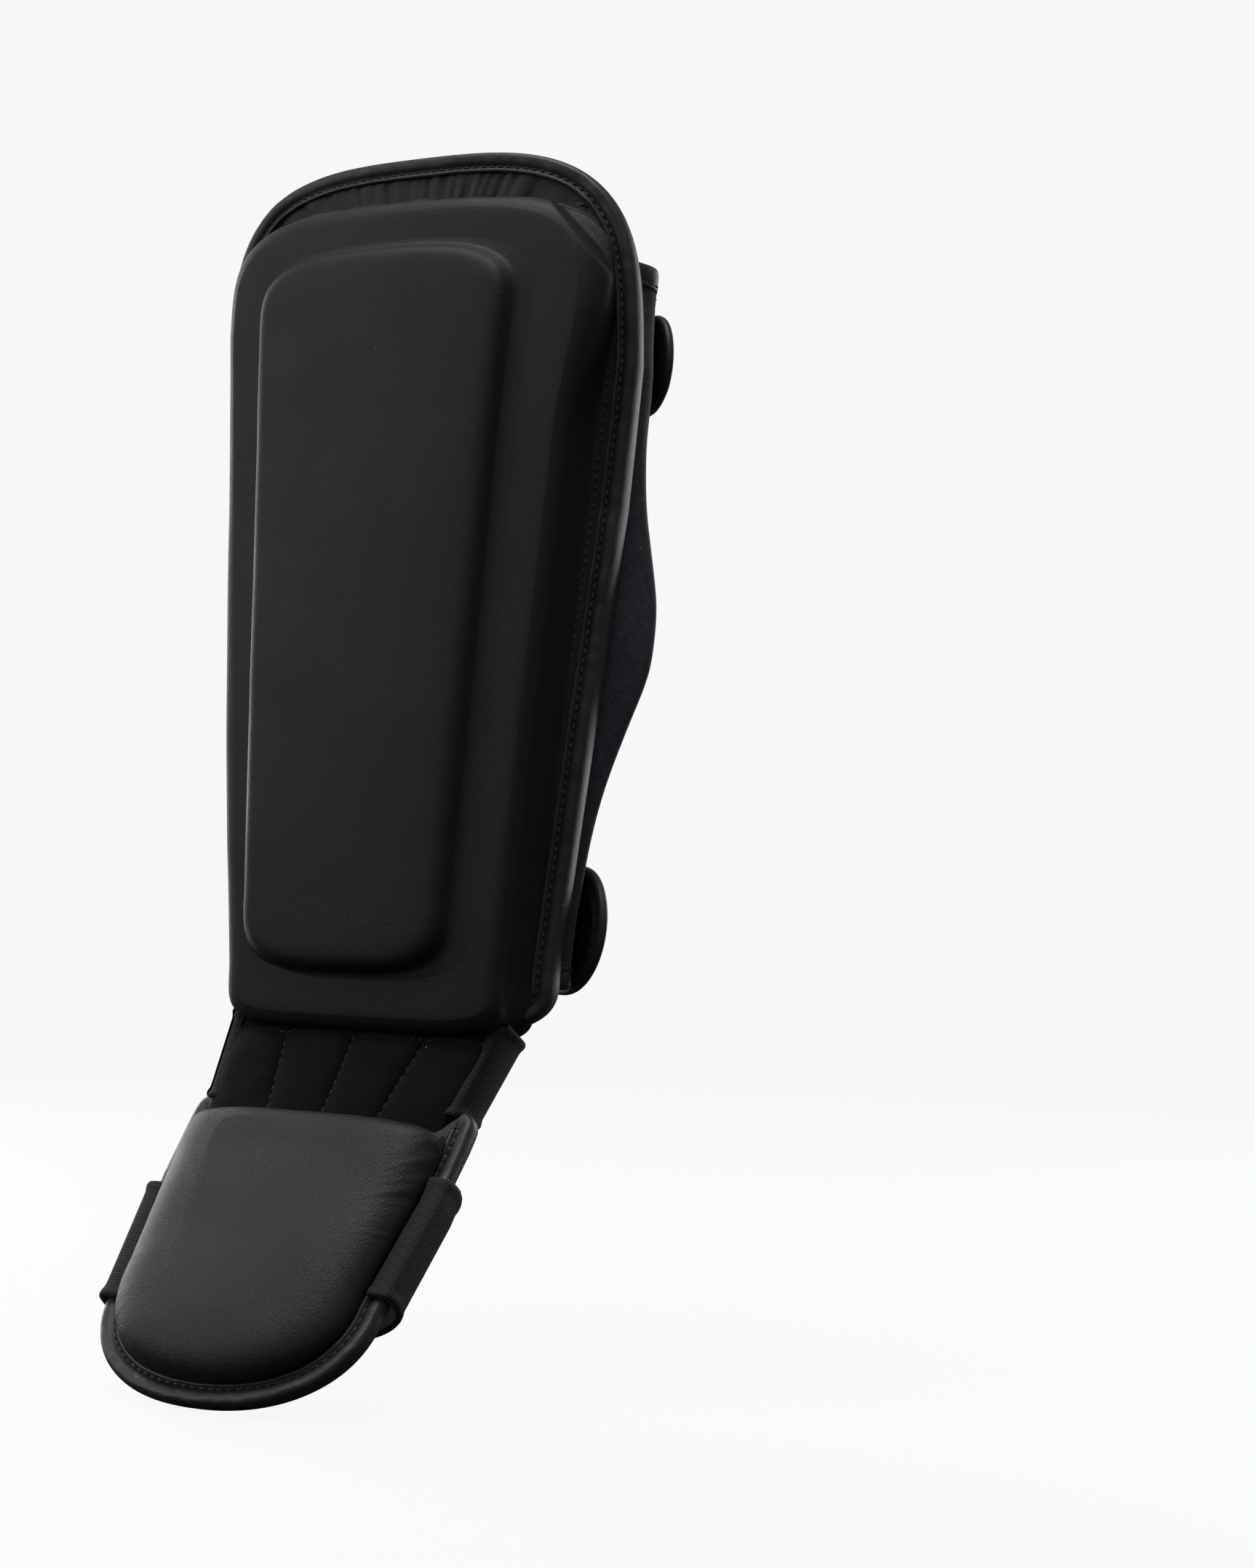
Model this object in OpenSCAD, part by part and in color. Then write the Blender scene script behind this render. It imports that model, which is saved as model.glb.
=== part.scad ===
// Shin and instep guard for kick training: padded shin plate, neoprene calf wing,
// two hook-and-loop straps, a quilted ankle panel and a padded instep flap.
// The shin runs along Z, the toes point to -Y, the calf is on +Y.
// The origin is on the lining, at the middle of the shin plate's height.

/* [Shin pad] */
// Height of the whole shin pad, flange included
pad_h = 340; // [330:1:350]
// Half width of the flange at the shoulder
flange_top_w = 92; // [91:0.2:93]
// Half width of the flange at the foot of the pad
flange_foot_w = 69.6; // [69:0.2:71]
// Height above the foot of the pad where the rounded top begins
shoulder_h = 256; // [245:1:265]
// Half width of the foam block at its shoulder
foam_top_w = 80.5; // [78:0.5:81.5]
// Half width of the foam block at the foot
foam_foot_w = 62; // [59:0.5:62.5]
// Height of the foam block's top edge
foam_top = 318; // [312:1:320]
// Half width of the raised ridge at its top
ridge_top_w = 54.2; // [50:0.2:58]
// Half width of the raised ridge at its foot
ridge_foot_w = 47; // [43:0.5:50]
// Thickness of the pad from the lining to the ridge's face
pad_t = 28; // [26:0.5:30]
// How far the ridge's face bows back at the sides
face_bow = 8; // [6:0.5:10]
// How far the lining bows back at the sides, round the shin
lining_bow = 21; // [18:0.5:23]
// How far the lining bows back at the very top
top_bow = 8; // [6:0.5:12]

/* [Layers] */
// Thickness of the lining
lining_t = 3; // [2:0.5:4]
// Thickness of the leather skin
skin_t = 1.2; // [1:0.1:1.5]
// Width of the edge binding on the face
binding_w = 5; // [4:0.5:5.5]
// Thickness of the edge binding
binding_t = 1.3; // [1:0.1:1.6]
// Thickness of the neoprene calf wing
wing_t = 3.5; // [3:0.1:4]
// Thickness of the elastic webbing
elastic_t = 1.8; // [1.4:0.1:2.2]

/* [Calf wing] */
// Height of the wing's lower edge
wing_low = 17; // [14:1:22]
// Height of the wing's upper edge at the flank
wing_high = 300; // [286:1:303]
// How far the wing swells over the calf muscle
calf_swell = 14; // [10:0.5:15]
// Angle round the calf where the wing ends
wing_end = 128; // [115:1:135]

/* [Straps] */
// Width of the upper strap
upper_strap_w = 40; // [36:1:42]
// Width of the lower strap
lower_strap_w = 50; // [46:1:50]
// Height of the upper strap's middle where it is sewn on
upper_strap_base = 235; // [228:1:240]
// Height of the upper strap's middle at its tab
upper_strap_tip = 268; // [262:1:269]
// Height of the lower strap's middle where it is sewn on
lower_strap_base = 42; // [40:1:48]
// Height of the lower strap's middle at its tab
lower_strap_tip = 40; // [38:1:44]

/* [Ankle] */
// Length of the quilted ankle panel
ankle_l = 38; // [34:0.5:39]
// Slope of the ankle panel below level, as hung
ankle_slope = 68; // [66:1:74]
// Half width of the quilted face between its side bands, at the top
ankle_top_w = 57; // [54:0.5:60]
// Half width of the quilted face at the bottom
ankle_foot_w = 51; // [48:0.5:54]
// Depth of the ankle band's loop behind the panel
ankle_loop = 46; // [42:1:50]

/* [Instep flap] */
// Length of the instep flap
instep_l = 111; // [108:1:113]
// Slope of the instep flap below level, as hung
instep_slope = 52; // [48:1:56]
// Half width of the instep flap next to the ankle
instep_top_w = 60.5; // [59:0.5:62]
// Half width of the instep flap at the ball of the foot
instep_toe_w = 55.5; // [54:0.5:57]
// Sideways offset of the instep flap, towards the inside of the leg
instep_shift = -7; // [-7.5:0.5:0]
// Depth of the foot band's loop below the flap
foot_loop = 38; // [34:1:42]

/* [Hidden] */

arc_n = 20;
seam = 0.2;
side_n = 8;
flange_front = pad_t - lining_t - skin_t;
foam_back = pad_t - lining_t;

// Outlines are [low_w, high_w, low, low_arc, high_arc, high, low_power, high_power].
flange = [flange_foot_w, flange_top_w, 0, 24, shoulder_h, pad_h, 3.4, 3.5];
foam = [foam_foot_w, foam_top_w, 2.5, 26, foam_top - 46, foam_top, 4.8, 3.8];
ridge = [ridge_foot_w, ridge_top_w, 24, 49, 279, 303, 3.1, 3.1];
instep = [instep_toe_w, instep_top_w, -instep_l, -69, -15, 0, 2.2, 5];

function lerp(a, b, t) = a + (b - a) * t;
function unit(t) = max(0, min(1, t));
function signed_pow(c, p) = sign(c) * pow(abs(c), p);
arc_follow = 0.75;
function inset(s, d) = [s[0] - d, s[1] - d, s[2] + d, s[3] + arc_follow * d,
    s[4] - arc_follow * d, s[5] - d, s[6], s[7]];

// Closed outline: a rounded top, a straight flank, a rounded foot and the other flank.
function outline(s) = concat(
    [for (i = [0:arc_n]) let (a = 180 * i / arc_n)
        [s[1] * signed_pow(cos(a), 2 / s[7]), s[4] + (s[5] - s[4]) * pow(abs(sin(a)), 2 / s[7])]],
    [for (i = [1:side_n - 1]) [-lerp(s[1], s[0], i / side_n), lerp(s[4], s[3], i / side_n)]],
    [for (i = [0:arc_n]) let (a = 180 * i / arc_n)
        [-s[0] * signed_pow(cos(a), 2 / s[6]), s[3] - (s[3] - s[2]) * pow(abs(sin(a)), 2 / s[6])]],
    [for (i = [1:side_n - 1]) [lerp(s[0], s[1], i / side_n), lerp(s[3], s[4], i / side_n)]]);

// Shin frame: x across, h up from the foot of the pad, depth back from the ridge's face.
bow_start = 8;
function back_bow(h) = lerp(lining_bow, top_bow, unit((h - 200) / 130));
function shin_at(x, h, depth) =
    let (bow = lerp(face_bow, back_bow(h), unit((depth - bow_start) / (pad_t - bow_start))))
    [x, depth - pad_t + bow * pow(x / flange_top_w, 2), h - pad_h / 2];

// Ankle frame: q down the panel from the fold line, lift towards the front.
ankle_bow = 4;
fold_y = 9 - pad_t;
fold_z = -20 - pad_h / 2;
function ankle_at(x, q, lift) =
    let (n = lift - ankle_bow * pow(x / 60, 2))
    [x + instep_shift * (q / ankle_l + 1), fold_y - q * cos(ankle_slope) - n * sin(ankle_slope),
     fold_z - q * sin(ankle_slope) + n * cos(ankle_slope)];

// Instep frame: h is minus the distance from the flap's top edge, lift off the foot.
instep_y = -7 - pad_t;
instep_z = -37.7 - pad_h / 2;
instep_bow = 4;
instep_lean = 0.03;
function instep_at(x, h, lift) =
    let (n = lift - instep_bow * pow(x / 60, 2))
    [x + instep_shift + instep_lean * h, instep_y + h * cos(instep_slope) - n * sin(instep_slope),
     instep_z + h * sin(instep_slope) + n * cos(instep_slope)];

function shin_ring(r) = [for (p = outline(inset(r[0], r[1]))) shin_at(p[0], p[1], r[2])];

// The flap's padding stands up steeply along its top edge.
steep = 0.35;
function instep_inset(d) = let (s = inset(instep, d))
    [s[0], s[1], s[2], s[3], instep[4] - steep * d, instep[5] - steep * d, s[6], s[7]];
function instep_ring(r) = [for (p = outline(instep_inset(r[0]))) instep_at(p[0], p[1], r[1])];

// Closed skin over a stack of rings, with a point at each end.
module skin(first, rings, last, flip = false) {
    m = len(rings[0]);
    n = len(rings);
    verts = concat([for (r = rings) each r], [first, last]);
    sides = [for (k = [0:n - 2], i = [0:m - 1]) let (j = (i + 1) % m, a = k * m, b = a + m)
        each [[a + i, a + j, b + j], [a + i, b + j, b + i]]];
    caps = [for (i = [0:m - 1]) let (j = (i + 1) % m, b = (n - 1) * m)
        each [[j, i, n * m], [b + i, b + j, n * m + 1]]];
    faces = concat(sides, caps);
    polyhedron(verts, flip ? [for (f = faces) [f[2], f[1], f[0]]] : faces, convexity = 8);
}

// Closed plate between a front and a back grid of points.
module plate(front, back, flip = false) {
    r = len(front);
    c = len(front[0]);
    o = r * c;
    verts = concat([for (row = front) each row], [for (row = back) each row]);
    both = [for (i = [0:r - 2], j = [0:c - 2]) let (a = i * c + j, b = a + c)
        each [[a, a + 1, b + 1], [a, b + 1, b],
              [o + a, o + b + 1, o + a + 1], [o + a, o + b, o + b + 1]]];
    ends = [for (j = [0:c - 2]) let (b = (r - 1) * c + j)
        each [[j, o + j, o + j + 1], [j, o + j + 1, j + 1],
              [b, b + 1, o + b + 1], [b, o + b + 1, o + b]]];
    rims = [for (i = [0:r - 2]) let (a = i * c, b = a + c, d = a + c - 1, e = b + c - 1)
        each [[a, b, o + b], [a, o + b, o + a], [d, o + e, e], [d, o + d, o + e]]];
    faces = concat(both, ends, rims);
    polyhedron(verts, flip ? [for (f = faces) [f[2], f[1], f[0]]] : faces, convexity = 8);
}

// Open sweep of a closed profile: one row of profile points for each station.
module sweep(rows, flip = false) {
    n = len(rows);
    m = len(rows[0]);
    verts = [for (r = rows) each r];
    sides = [for (k = [0:n - 2], i = [0:m - 1]) let (j = (i + 1) % m, a = k * m, b = a + m)
        each [[a + i, a + j, b + j], [a + i, b + j, b + i]]];
    // The profile is a U of eight points, so each end is three quads.
    lid = [[0, 7, 6, 1], [1, 6, 5, 2], [2, 5, 4, 3]];
    e = (n - 1) * m;
    ends = [for (q = lid) each [q, [e + q[3], e + q[2], e + q[1], e + q[0]]]];
    faces = concat(sides, ends);
    polyhedron(verts, flip ? [for (f = faces) [for (i = [len(f) - 1:-1:0]) f[i]]] : faces,
        convexity = 8);
}

// U profile folded over an edge, standing a seam's gap clear of it: out is measured past the edge, in behind it.
function u_profile(wide, front, back, thick) = [
    [-wide, front + thick], [thick + seam, front + thick],
    [thick + seam, back - thick], [-wide, back - thick],
    [-wide, back - seam], [seam, back - seam], [seam, front + seam], [-wide, front + seam]];

function outward(pts, i) =
    let (d = pts[min(i + 1, len(pts) - 1)] - pts[max(i - 1, 0)])
    [d[1], -d[0]] / norm(d);

// ---- Shin pad -------------------------------------------------------------------

cover_front = [[flange, 1, flange_front], [foam, -1.2, flange_front], [foam, -0.4, 15],
    [foam, 1.5, 10], [foam, 6, 7.5], [ridge, -4, 7], [ridge, 0, 4.8], [ridge, 3, 1.4],
    [ridge, 9, 0.2], [ridge, 30, 0]];
cover_back = [[flange, 1, foam_back - 0.3], [foam, 0, foam_back], [foam, 0.8, 16.2],
    [foam, 2.7, 11.2], [foam, 7, 8.7], [ridge, -3.4, 8.2], [ridge, 1.1, 6], [ridge, 4, 2.6],
    [ridge, 9.6, 1.4], [ridge, 30, 1.2]];
foam_step = 8.2;
ridge_back = foam_step - 0.15;
pad_mid = 162;

module shin_cover() {
    color("#26282a")
        skin(shin_at(0, pad_mid, 0),
            [for (i = [len(cover_front) - 1:-1:0]) shin_ring(cover_front[i]),
             for (r = cover_back) shin_ring(r)],
            shin_at(0, pad_mid, 1.2));
}

module shin_foam() {
    color("#8f949b")
        skin(shin_at(0, pad_mid, foam_back),
            [shin_ring([foam, 30, foam_back]), shin_ring([foam, 15, foam_back]),
             for (i = [1:5]) shin_ring(cover_back[i]),
             shin_ring([ridge, 10, foam_step]), shin_ring([ridge, 30, foam_step])],
            shin_at(0, pad_mid, foam_step), flip = true);
}

module shin_ridge_foam() {
    color("#a9adb3")
        skin(shin_at(0, pad_mid, ridge_back),
            [shin_ring([ridge, 30, ridge_back]), shin_ring([ridge, 10, ridge_back]),
             shin_ring([ridge, -2.9, ridge_back]),
             for (i = [6:9]) shin_ring(cover_back[i])],
            shin_at(0, pad_mid, 1.2), flip = true);
}

module shin_lining() {
    color("#1b1c1f")
        skin(shin_at(0, pad_mid, foam_back),
            [shin_ring([foam, 30, foam_back]), shin_ring([foam, 15, foam_back]),
             shin_ring([foam, 0, foam_back]), shin_ring([flange, 1, foam_back + 0.3]),
             shin_ring([flange, 1, pad_t]), shin_ring([foam, 0, pad_t]),
             shin_ring([foam, 15, pad_t]), shin_ring([foam, 30, pad_t])],
            shin_at(0, pad_mid, pad_t));
}

// The binding runs up one flank, over the top and down the other flank.
binding_foot = 13;
module shin_binding() {
    edge = outline(inset(flange, 1));
    m = len(edge);
    start = arc_n + side_n + arc_n / 2;
    path = [for (i = [0:m - 1]) edge[(i + start) % m]];
    run = [for (i = [0:len(path) - 1]) if (path[i][1] > binding_foot) path[i]];
    color("#37383a")
        sweep([for (i = [0:len(run) - 1]) let (o = outward(run, i))
            [for (p = u_profile(binding_w, -flange_front, -pad_t, binding_t))
                shin_at(run[i][0] + o[0] * p[0], run[i][1] + o[1] * p[0], -p[1])]],
            flip = true);
}

// ---- Calf wing ------------------------------------------------------------------

calf_y = 40 - pad_t;
wing_start = 12;
// The calf line is shallower near the ankle than over the calf muscle.
function calf_flat(h) = lerp(0.6, 0.85, unit((h - 50) / 110));

function flange_side(h) = lerp(flange_foot_w, flange_top_w, unit((h - 8) / (shoulder_h - 8)));
function calf_half(h) = flange_side(h) - 1.5 + calf_swell * exp(-pow((h - 152) / 48, 2));

// A point on the calf line at height h, off outside it, a degrees round from the flank.
function calf_at(a, h, off) =
    let (w = calf_half(h), f = calf_flat(h), c = cos(a), s = sin(a), n = [f * c, s] / norm([f * c, s]))
    [w * c + n[0] * off, calf_y + f * w * s + n[1] * off, h - pad_h / 2];

wing_cols = 20;
wing_rows = 14;
hem_w = 8;
sewn_w = 22;
wing_gap = binding_t + 0.5;

// Height of the wing's upper edge, which falls gently towards its free end.
function wing_top(t) = wing_high - 12 * t;

// The first two columns lie behind the flange, the rest go round the calf.
function wing_at(t, h, off) =
    let (s = flange_side(h), k = t * wing_cols)
    k < 2
    ? shin_at(s - sewn_w + 8 * k, h, pad_t + wing_gap - off)
    : calf_at(lerp(wing_start, wing_end, (k - 2) / (wing_cols - 2)), h, off);

module wing_sheet(t0, t1, low, high, out, inner, cols, rows) {
    grid = [for (i = [0:cols]) let (t = lerp(t0, t1, i / cols))
        [for (j = [0:rows]) [t, lerp(wing_low + low, wing_top(t) - high, j / rows)]]];
    plate([for (c = grid) [for (p = c) wing_at(p[0], p[1], out)]],
        [for (c = grid) [for (p = c) wing_at(p[0], p[1], inner)]]);
}

module calf_wing() {
    color("#2a2d31")
        wing_sheet(0, 1 - 1 / wing_cols, 1, 1, 0, -wing_t, wing_cols - 1, wing_rows);
}

module wing_top_hem() {
    color("#323437")
        wing_hem([for (i = [3:wing_cols - 1]) [i / wing_cols, wing_top(i / wing_cols) - 1]], 1);
}

module wing_bottom_hem() {
    color("#323437")
        wing_hem([for (i = [3:wing_cols - 1]) [i / wing_cols, wing_low + 1]], -1);
}

// A U of leather over the wing's edge: side is 1 on the upper edge, -1 on the lower.
module wing_hem(edge, side) {
    sweep([for (e = edge) [for (p = u_profile(hem_w, 0, -wing_t, 0.7))
        wing_at(e[0], e[1] + side * p[0], p[1])]], flip = side < 0);
}

// The free end is bound by a flat strip that continues the sheet.
module wing_end_hem() {
    color("#323437")
        wing_sheet(1 - 1 / wing_cols + 0.002, 1, 0, 0, 0.7, -wing_t - 0.7, 1, wing_rows);
}

// ---- Straps ---------------------------------------------------------------------

strap_start = 166;
tab_start = 84;
tab_leave = 40;
tab_straight = 6;
strap_off = 2.1;
// Degrees of the calf line between a strap and its sewn end, which lets the strap swing.
anchor_gap = 6;
tab_t = 2;
hook_t = 1.1;
tab_edge = 5;
strap_rows = 4;
strap_cols = 24;

// A strap is [height where it is sewn on, height at its tab, width].
upper_strap = [upper_strap_base, upper_strap_tip, upper_strap_w];
lower_strap = [lower_strap_base, lower_strap_tip, lower_strap_w];

// Height of a strap's middle at angle a.
function strap_mid(st, a) = lerp(st[1], st[0], unit((a - tab_leave) / (strap_start - tab_leave)));

// A point past the calf: the tab leaves the calf line and runs straight on.
function tab_at(len, h, off) =
    let (p = calf_at(tab_leave, h, off), q = calf_at(tab_leave + 1, h, off),
         d = (p - q) / norm(p - q))
    p + d * len;

module upper_strap_elastic() { color("#1c1d1f") strap_elastic(upper_strap); }
module lower_strap_elastic() { color("#1c1d1f") strap_elastic(lower_strap); }

module strap_elastic(st) {
    grid = [for (i = [0:strap_cols]) let (a = lerp(strap_start, tab_start + 1, i / strap_cols))
        [for (j = [0:strap_rows])
            [a, strap_mid(st, a) + st[2] * (j / strap_rows - 0.5)]]];
    plate([for (c = grid) [for (p = c) calf_at(p[0], p[1], strap_off + elastic_t)]],
        [for (c = grid) [for (p = c) calf_at(p[0], p[1], strap_off)]], flip = true);
}

// The tab's surface: s runs 0 to 1 round the calf and 1 to 2 along the straight end.
function tab_point(st, s, v, off) =
    s < 1
    ? let (a = lerp(tab_start, tab_leave, s)) calf_at(a, strap_mid(st, a) + v, off)
    : tab_at((s - 1) * tab_straight, st[1] + v, off);

// How far the rounded end reaches at offset v from the middle, as an s value.
function tab_reach(v, half) = 2 + half * sqrt(max(0, 1 - pow(v / half, 2))) / tab_straight;

module tab_sheet(st, side_gap, out, inner) {
    half = st[2] / 2 - side_gap;
    rows = 12;
    cols = 10;
    grid = [for (j = [0:rows]) let (v = -half * cos(180 * j / rows))
        [for (i = [0:cols]) let (s = i < 5 ? i / 5 : lerp(1, tab_reach(v, half), (i - 5) / 5))
            [s, v]]];
    plate([for (r = grid) [for (p = r) tab_point(st, p[0], p[1], out)]],
        [for (r = grid) [for (p = r) tab_point(st, p[0], p[1], inner)]]);
}

module upper_strap_tab() {
    color("#26282a")
        tab_sheet(upper_strap, tab_edge, strap_off + tab_t, strap_off);
}

module lower_strap_tab() {
    color("#26282a")
        tab_sheet(lower_strap, tab_edge, strap_off + tab_t, strap_off);
}

module upper_strap_hook() {
    color("#0a0a0b")
        tab_sheet(upper_strap, tab_edge + 2, strap_off - 0.1, strap_off - hook_t);
}

module lower_strap_hook() {
    color("#0a0a0b")
        tab_sheet(lower_strap, tab_edge + 2, strap_off - 0.1, strap_off - hook_t);
}

// The tab's binding: a rim along one edge, round the end and back along the other.
module tab_rim(st) {
    turn = 14;
    half_w = st[2] / 2;
    path = concat(
        [for (i = [0:5]) [i / 5, -1]],
        [for (i = [0:turn]) [2 + sin(180 * i / turn), -cos(180 * i / turn)]],
        [for (i = [5:-1:0]) [i / 5, 1]]);
    grid = [for (p = path) [for (half = [half_w - tab_edge + 0.1, half_w])
        [p[0] <= 1 ? p[0] : 2 + (p[0] - 2) * half / tab_straight, p[1] * half]]];
    plate([for (r = grid) [for (p = r) tab_point(st, p[0], p[1], strap_off + tab_t + 0.5)]],
        [for (r = grid) [for (p = r) tab_point(st, p[0], p[1], strap_off - 0.5)]]);
}

module upper_strap_binding() { color("#37383a") tab_rim(upper_strap); }
module lower_strap_binding() { color("#37383a") tab_rim(lower_strap); }

// The sewn end of a strap, behind the flange on the inside of the leg.
module strap_anchor(st) {
    grid = [for (i = [0:4]) [for (j = [0:2]) [i, st[0] + st[2] * (j / 2 - 0.5)]]];
    rim = pad_t + binding_t + 0.4;
    function at(i, h, off) =
        i < 4
        ? shin_at(-flange_side(h) + sewn_w - 6 * i, h, rim + off)
        : calf_at(strap_start + anchor_gap, h, strap_off + elastic_t - off);
    plate([for (c = grid) [for (p = c) at(p[0], p[1], 0)]],
        [for (c = grid) [for (p = c) at(p[0], p[1], elastic_t)]], flip = true);
}

module upper_strap_anchor() { color("#1c1d1f") strap_anchor(upper_strap); }
module lower_strap_anchor() { color("#1c1d1f") strap_anchor(lower_strap); }

// ---- Ankle ----------------------------------------------------------------------

channels = 4;
channel_cols = 5;
ankle_rows = 6;
channel_puff = 4.5;

function ankle_half(q) = lerp(ankle_top_w, ankle_foot_w, q / ankle_l + 0.5);

// Puff of the quilting at fraction f across the panel and fraction g down it.
function puff(f, g) =
    let (k = 2 * (f * channels - floor(f * channels - 1e-6)) - 1)
    channel_puff * sqrt(max(0, 1 - k * k)) * sqrt(max(0, 1 - pow(2 * g - 1, 4)));

function ankle_grid(f0, f1, cols, puffed, lift) =
    [for (i = [0:cols]) let (f = lerp(f0, f1, i / cols))
        [for (j = [0:ankle_rows]) let (g = j / ankle_rows, q = ankle_l * (g - 0.5))
            ankle_at(ankle_half(q) * (2 * f - 1), q, lift + puffed * puff(f, g))]];

module ankle_face() {
    cols = channels * channel_cols;
    color("#101113")
        plate(ankle_grid(0, 1, cols, 1, 0.8), ankle_grid(0, 1, cols, 1, 0), flip = true);
}

module ankle_foam() {
    color("#8f949b")
        for (k = [0:channels - 1])
            plate(ankle_grid((k + 0.04) / channels, (k + 0.96) / channels, channel_cols, 0.55, -0.6),
                ankle_grid((k + 0.04) / channels, (k + 0.96) / channels, channel_cols, 0, -1.8),
                flip = true);
}

module ankle_backing() {
    color("#1b1c1f")
        plate(ankle_grid(0, 1, 12, 0, -2), ankle_grid(0, 1, 12, 0, -3.5), flip = true);
}

// A band runs over one edge, round behind and over the other edge.
loop_n = 22;
ankle_band_rows = [-18, -4, 10];
// The band climbs this far towards the heel, so it sits level.
ankle_rise = 12;

function ankle_band_at(i, q, off) =
    let (w = ankle_half(q) + 3.4, a = lerp(-12, 192, (i - 1) / (loop_n - 2)))
    i == 0 || i == loop_n
    ? ankle_at((i == 0 ? 1 : -1) * (ankle_half(q) + 0.6), q, 0.6 + off)
    : ankle_at((w + off) * cos(a), q * lerp(1, 0.9, sin(a)) - ankle_rise * sin(a), ankle_bow * pow((w + off) * cos(a) / 60, 2)
        - 10 - (ankle_loop - 10 + off) * sin(a));

module ankle_band() {
    grid = [for (i = [0:loop_n]) [for (q = ankle_band_rows) [i, q]]];
    color("#1a1b1d")
        plate([for (c = grid) [for (p = c) ankle_band_at(p[0], p[1], elastic_t)]],
            [for (c = grid) [for (p = c) ankle_band_at(p[0], p[1], 0)]], flip = true);
}

// ---- Instep flap ----------------------------------------------------------------

instep_front = [[1, -4.3], [7.2, -4.3], [7.6, -1], [8.8, 3], [12, 6.5], [17.5, 8.8], [28, 9.9]];
instep_back = [[1, -5.3], [8.2, -5.5], [8.8, -1.6], [10.2, 1.9], [13.2, 5.3], [18.5, 7.5], [28, 8.6]];
instep_mid = -55;
instep_under = -8;

module instep_cover() {
    color("#2f3134")
        skin(instep_at(0, instep_mid, 10.2),
            [for (i = [len(instep_front) - 1:-1:0]) instep_ring(instep_front[i]),
             for (r = instep_back) instep_ring(r)],
            instep_at(0, instep_mid, 8.9));
}

module instep_foam() {
    color("#8f949b")
        skin(instep_at(0, instep_mid, -5.5),
            [instep_ring([28, -5.5]), instep_ring([18, -5.5]),
             for (i = [1:len(instep_back) - 1]) instep_ring(instep_back[i])],
            instep_at(0, instep_mid, 8.9), flip = true);
}

module instep_lining() {
    color("#1b1c1f")
        skin(instep_at(0, instep_mid, -5.5),
            [instep_ring([28, -5.5]), instep_ring([18, -5.5]), instep_ring([8.2, -5.5]),
             instep_ring([1, -5.7]), instep_ring([1, instep_under]),
             instep_ring([8.2, instep_under]), instep_ring([18, instep_under]),
             instep_ring([28, instep_under])],
            instep_at(0, instep_mid, instep_under));
}

// The binding runs from one side of the ankle round the toes to the other side.
module instep_binding() {
    edge = outline(inset(instep, 1));
    m = len(edge);
    run = [for (i = [arc_n:m]) edge[i % m]];
    color("#37383a")
        sweep([for (i = [0:len(run) - 1]) let (o = outward(run, i))
            [for (p = u_profile(binding_w, -4.3, instep_under, binding_t))
                instep_at(run[i][0] + o[0] * p[0], run[i][1] + o[1] * p[0], p[1])]],
            flip = true);
}

foot_band_top = -20;
foot_band_foot = -69;
flap_w = 8;

function instep_half(h) = lerp(instep_top_w, instep_toe_w, unit((-h - 24) / 45));

// The band sits higher on the outside of the foot than on the inside.
foot_band_tilt = 6;

function foot_band_at(i, g, off) =
    let (a = lerp(0, 180, (i - 2) / (loop_n - 4)), edge = min(i, loop_n - i),
         side = i < loop_n / 2 ? 1 : -1, h = g + foot_band_tilt * (edge < 2 ? side : cos(a)),
         w = instep_half(h) + 1.2)
    edge < 2
    ? instep_at(side * (w - (edge == 0 ? flap_w : 0) + edge * off), h, -2.4 + off)
    : instep_at((w + off) * cos(a), h, instep_bow * pow((w + off) * cos(a) / 60, 2)
        - 12 - (foot_loop - 12 + off) * sin(a));

module foot_band() {
    grid = [for (i = [0:loop_n]) [for (j = [0:2]) [i, lerp(foot_band_top, foot_band_foot, j / 2)]]];
    color("#1a1b1d")
        plate([for (c = grid) [for (p = c) foot_band_at(p[0], p[1], elastic_t)]],
            [for (c = grid) [for (p = c) foot_band_at(p[0], p[1], 0)]], flip = true);
}

shin_cover();
shin_ridge_foam();
shin_foam();
shin_lining();
shin_binding();
calf_wing();
wing_top_hem();
wing_bottom_hem();
wing_end_hem();
upper_strap_anchor();
lower_strap_anchor();
upper_strap_elastic();
upper_strap_tab();
upper_strap_hook();
upper_strap_binding();
lower_strap_elastic();
lower_strap_tab();
lower_strap_hook();
lower_strap_binding();
ankle_face();
ankle_foam();
ankle_backing();
ankle_band();
instep_cover();
instep_foam();
instep_lining();
instep_binding();
foot_band();
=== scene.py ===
"""Shin and instep guard: every visible piece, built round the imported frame.

Lengths in this file are millimetres until surface() turns them into metres.
x runs across the shin, h up from the foot of the pad, depth back from the ridge's face.
"""
from typing import NamedTuple

import bmesh
import bpy
import numpy as np
from mathutils import Matrix, Vector


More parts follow.
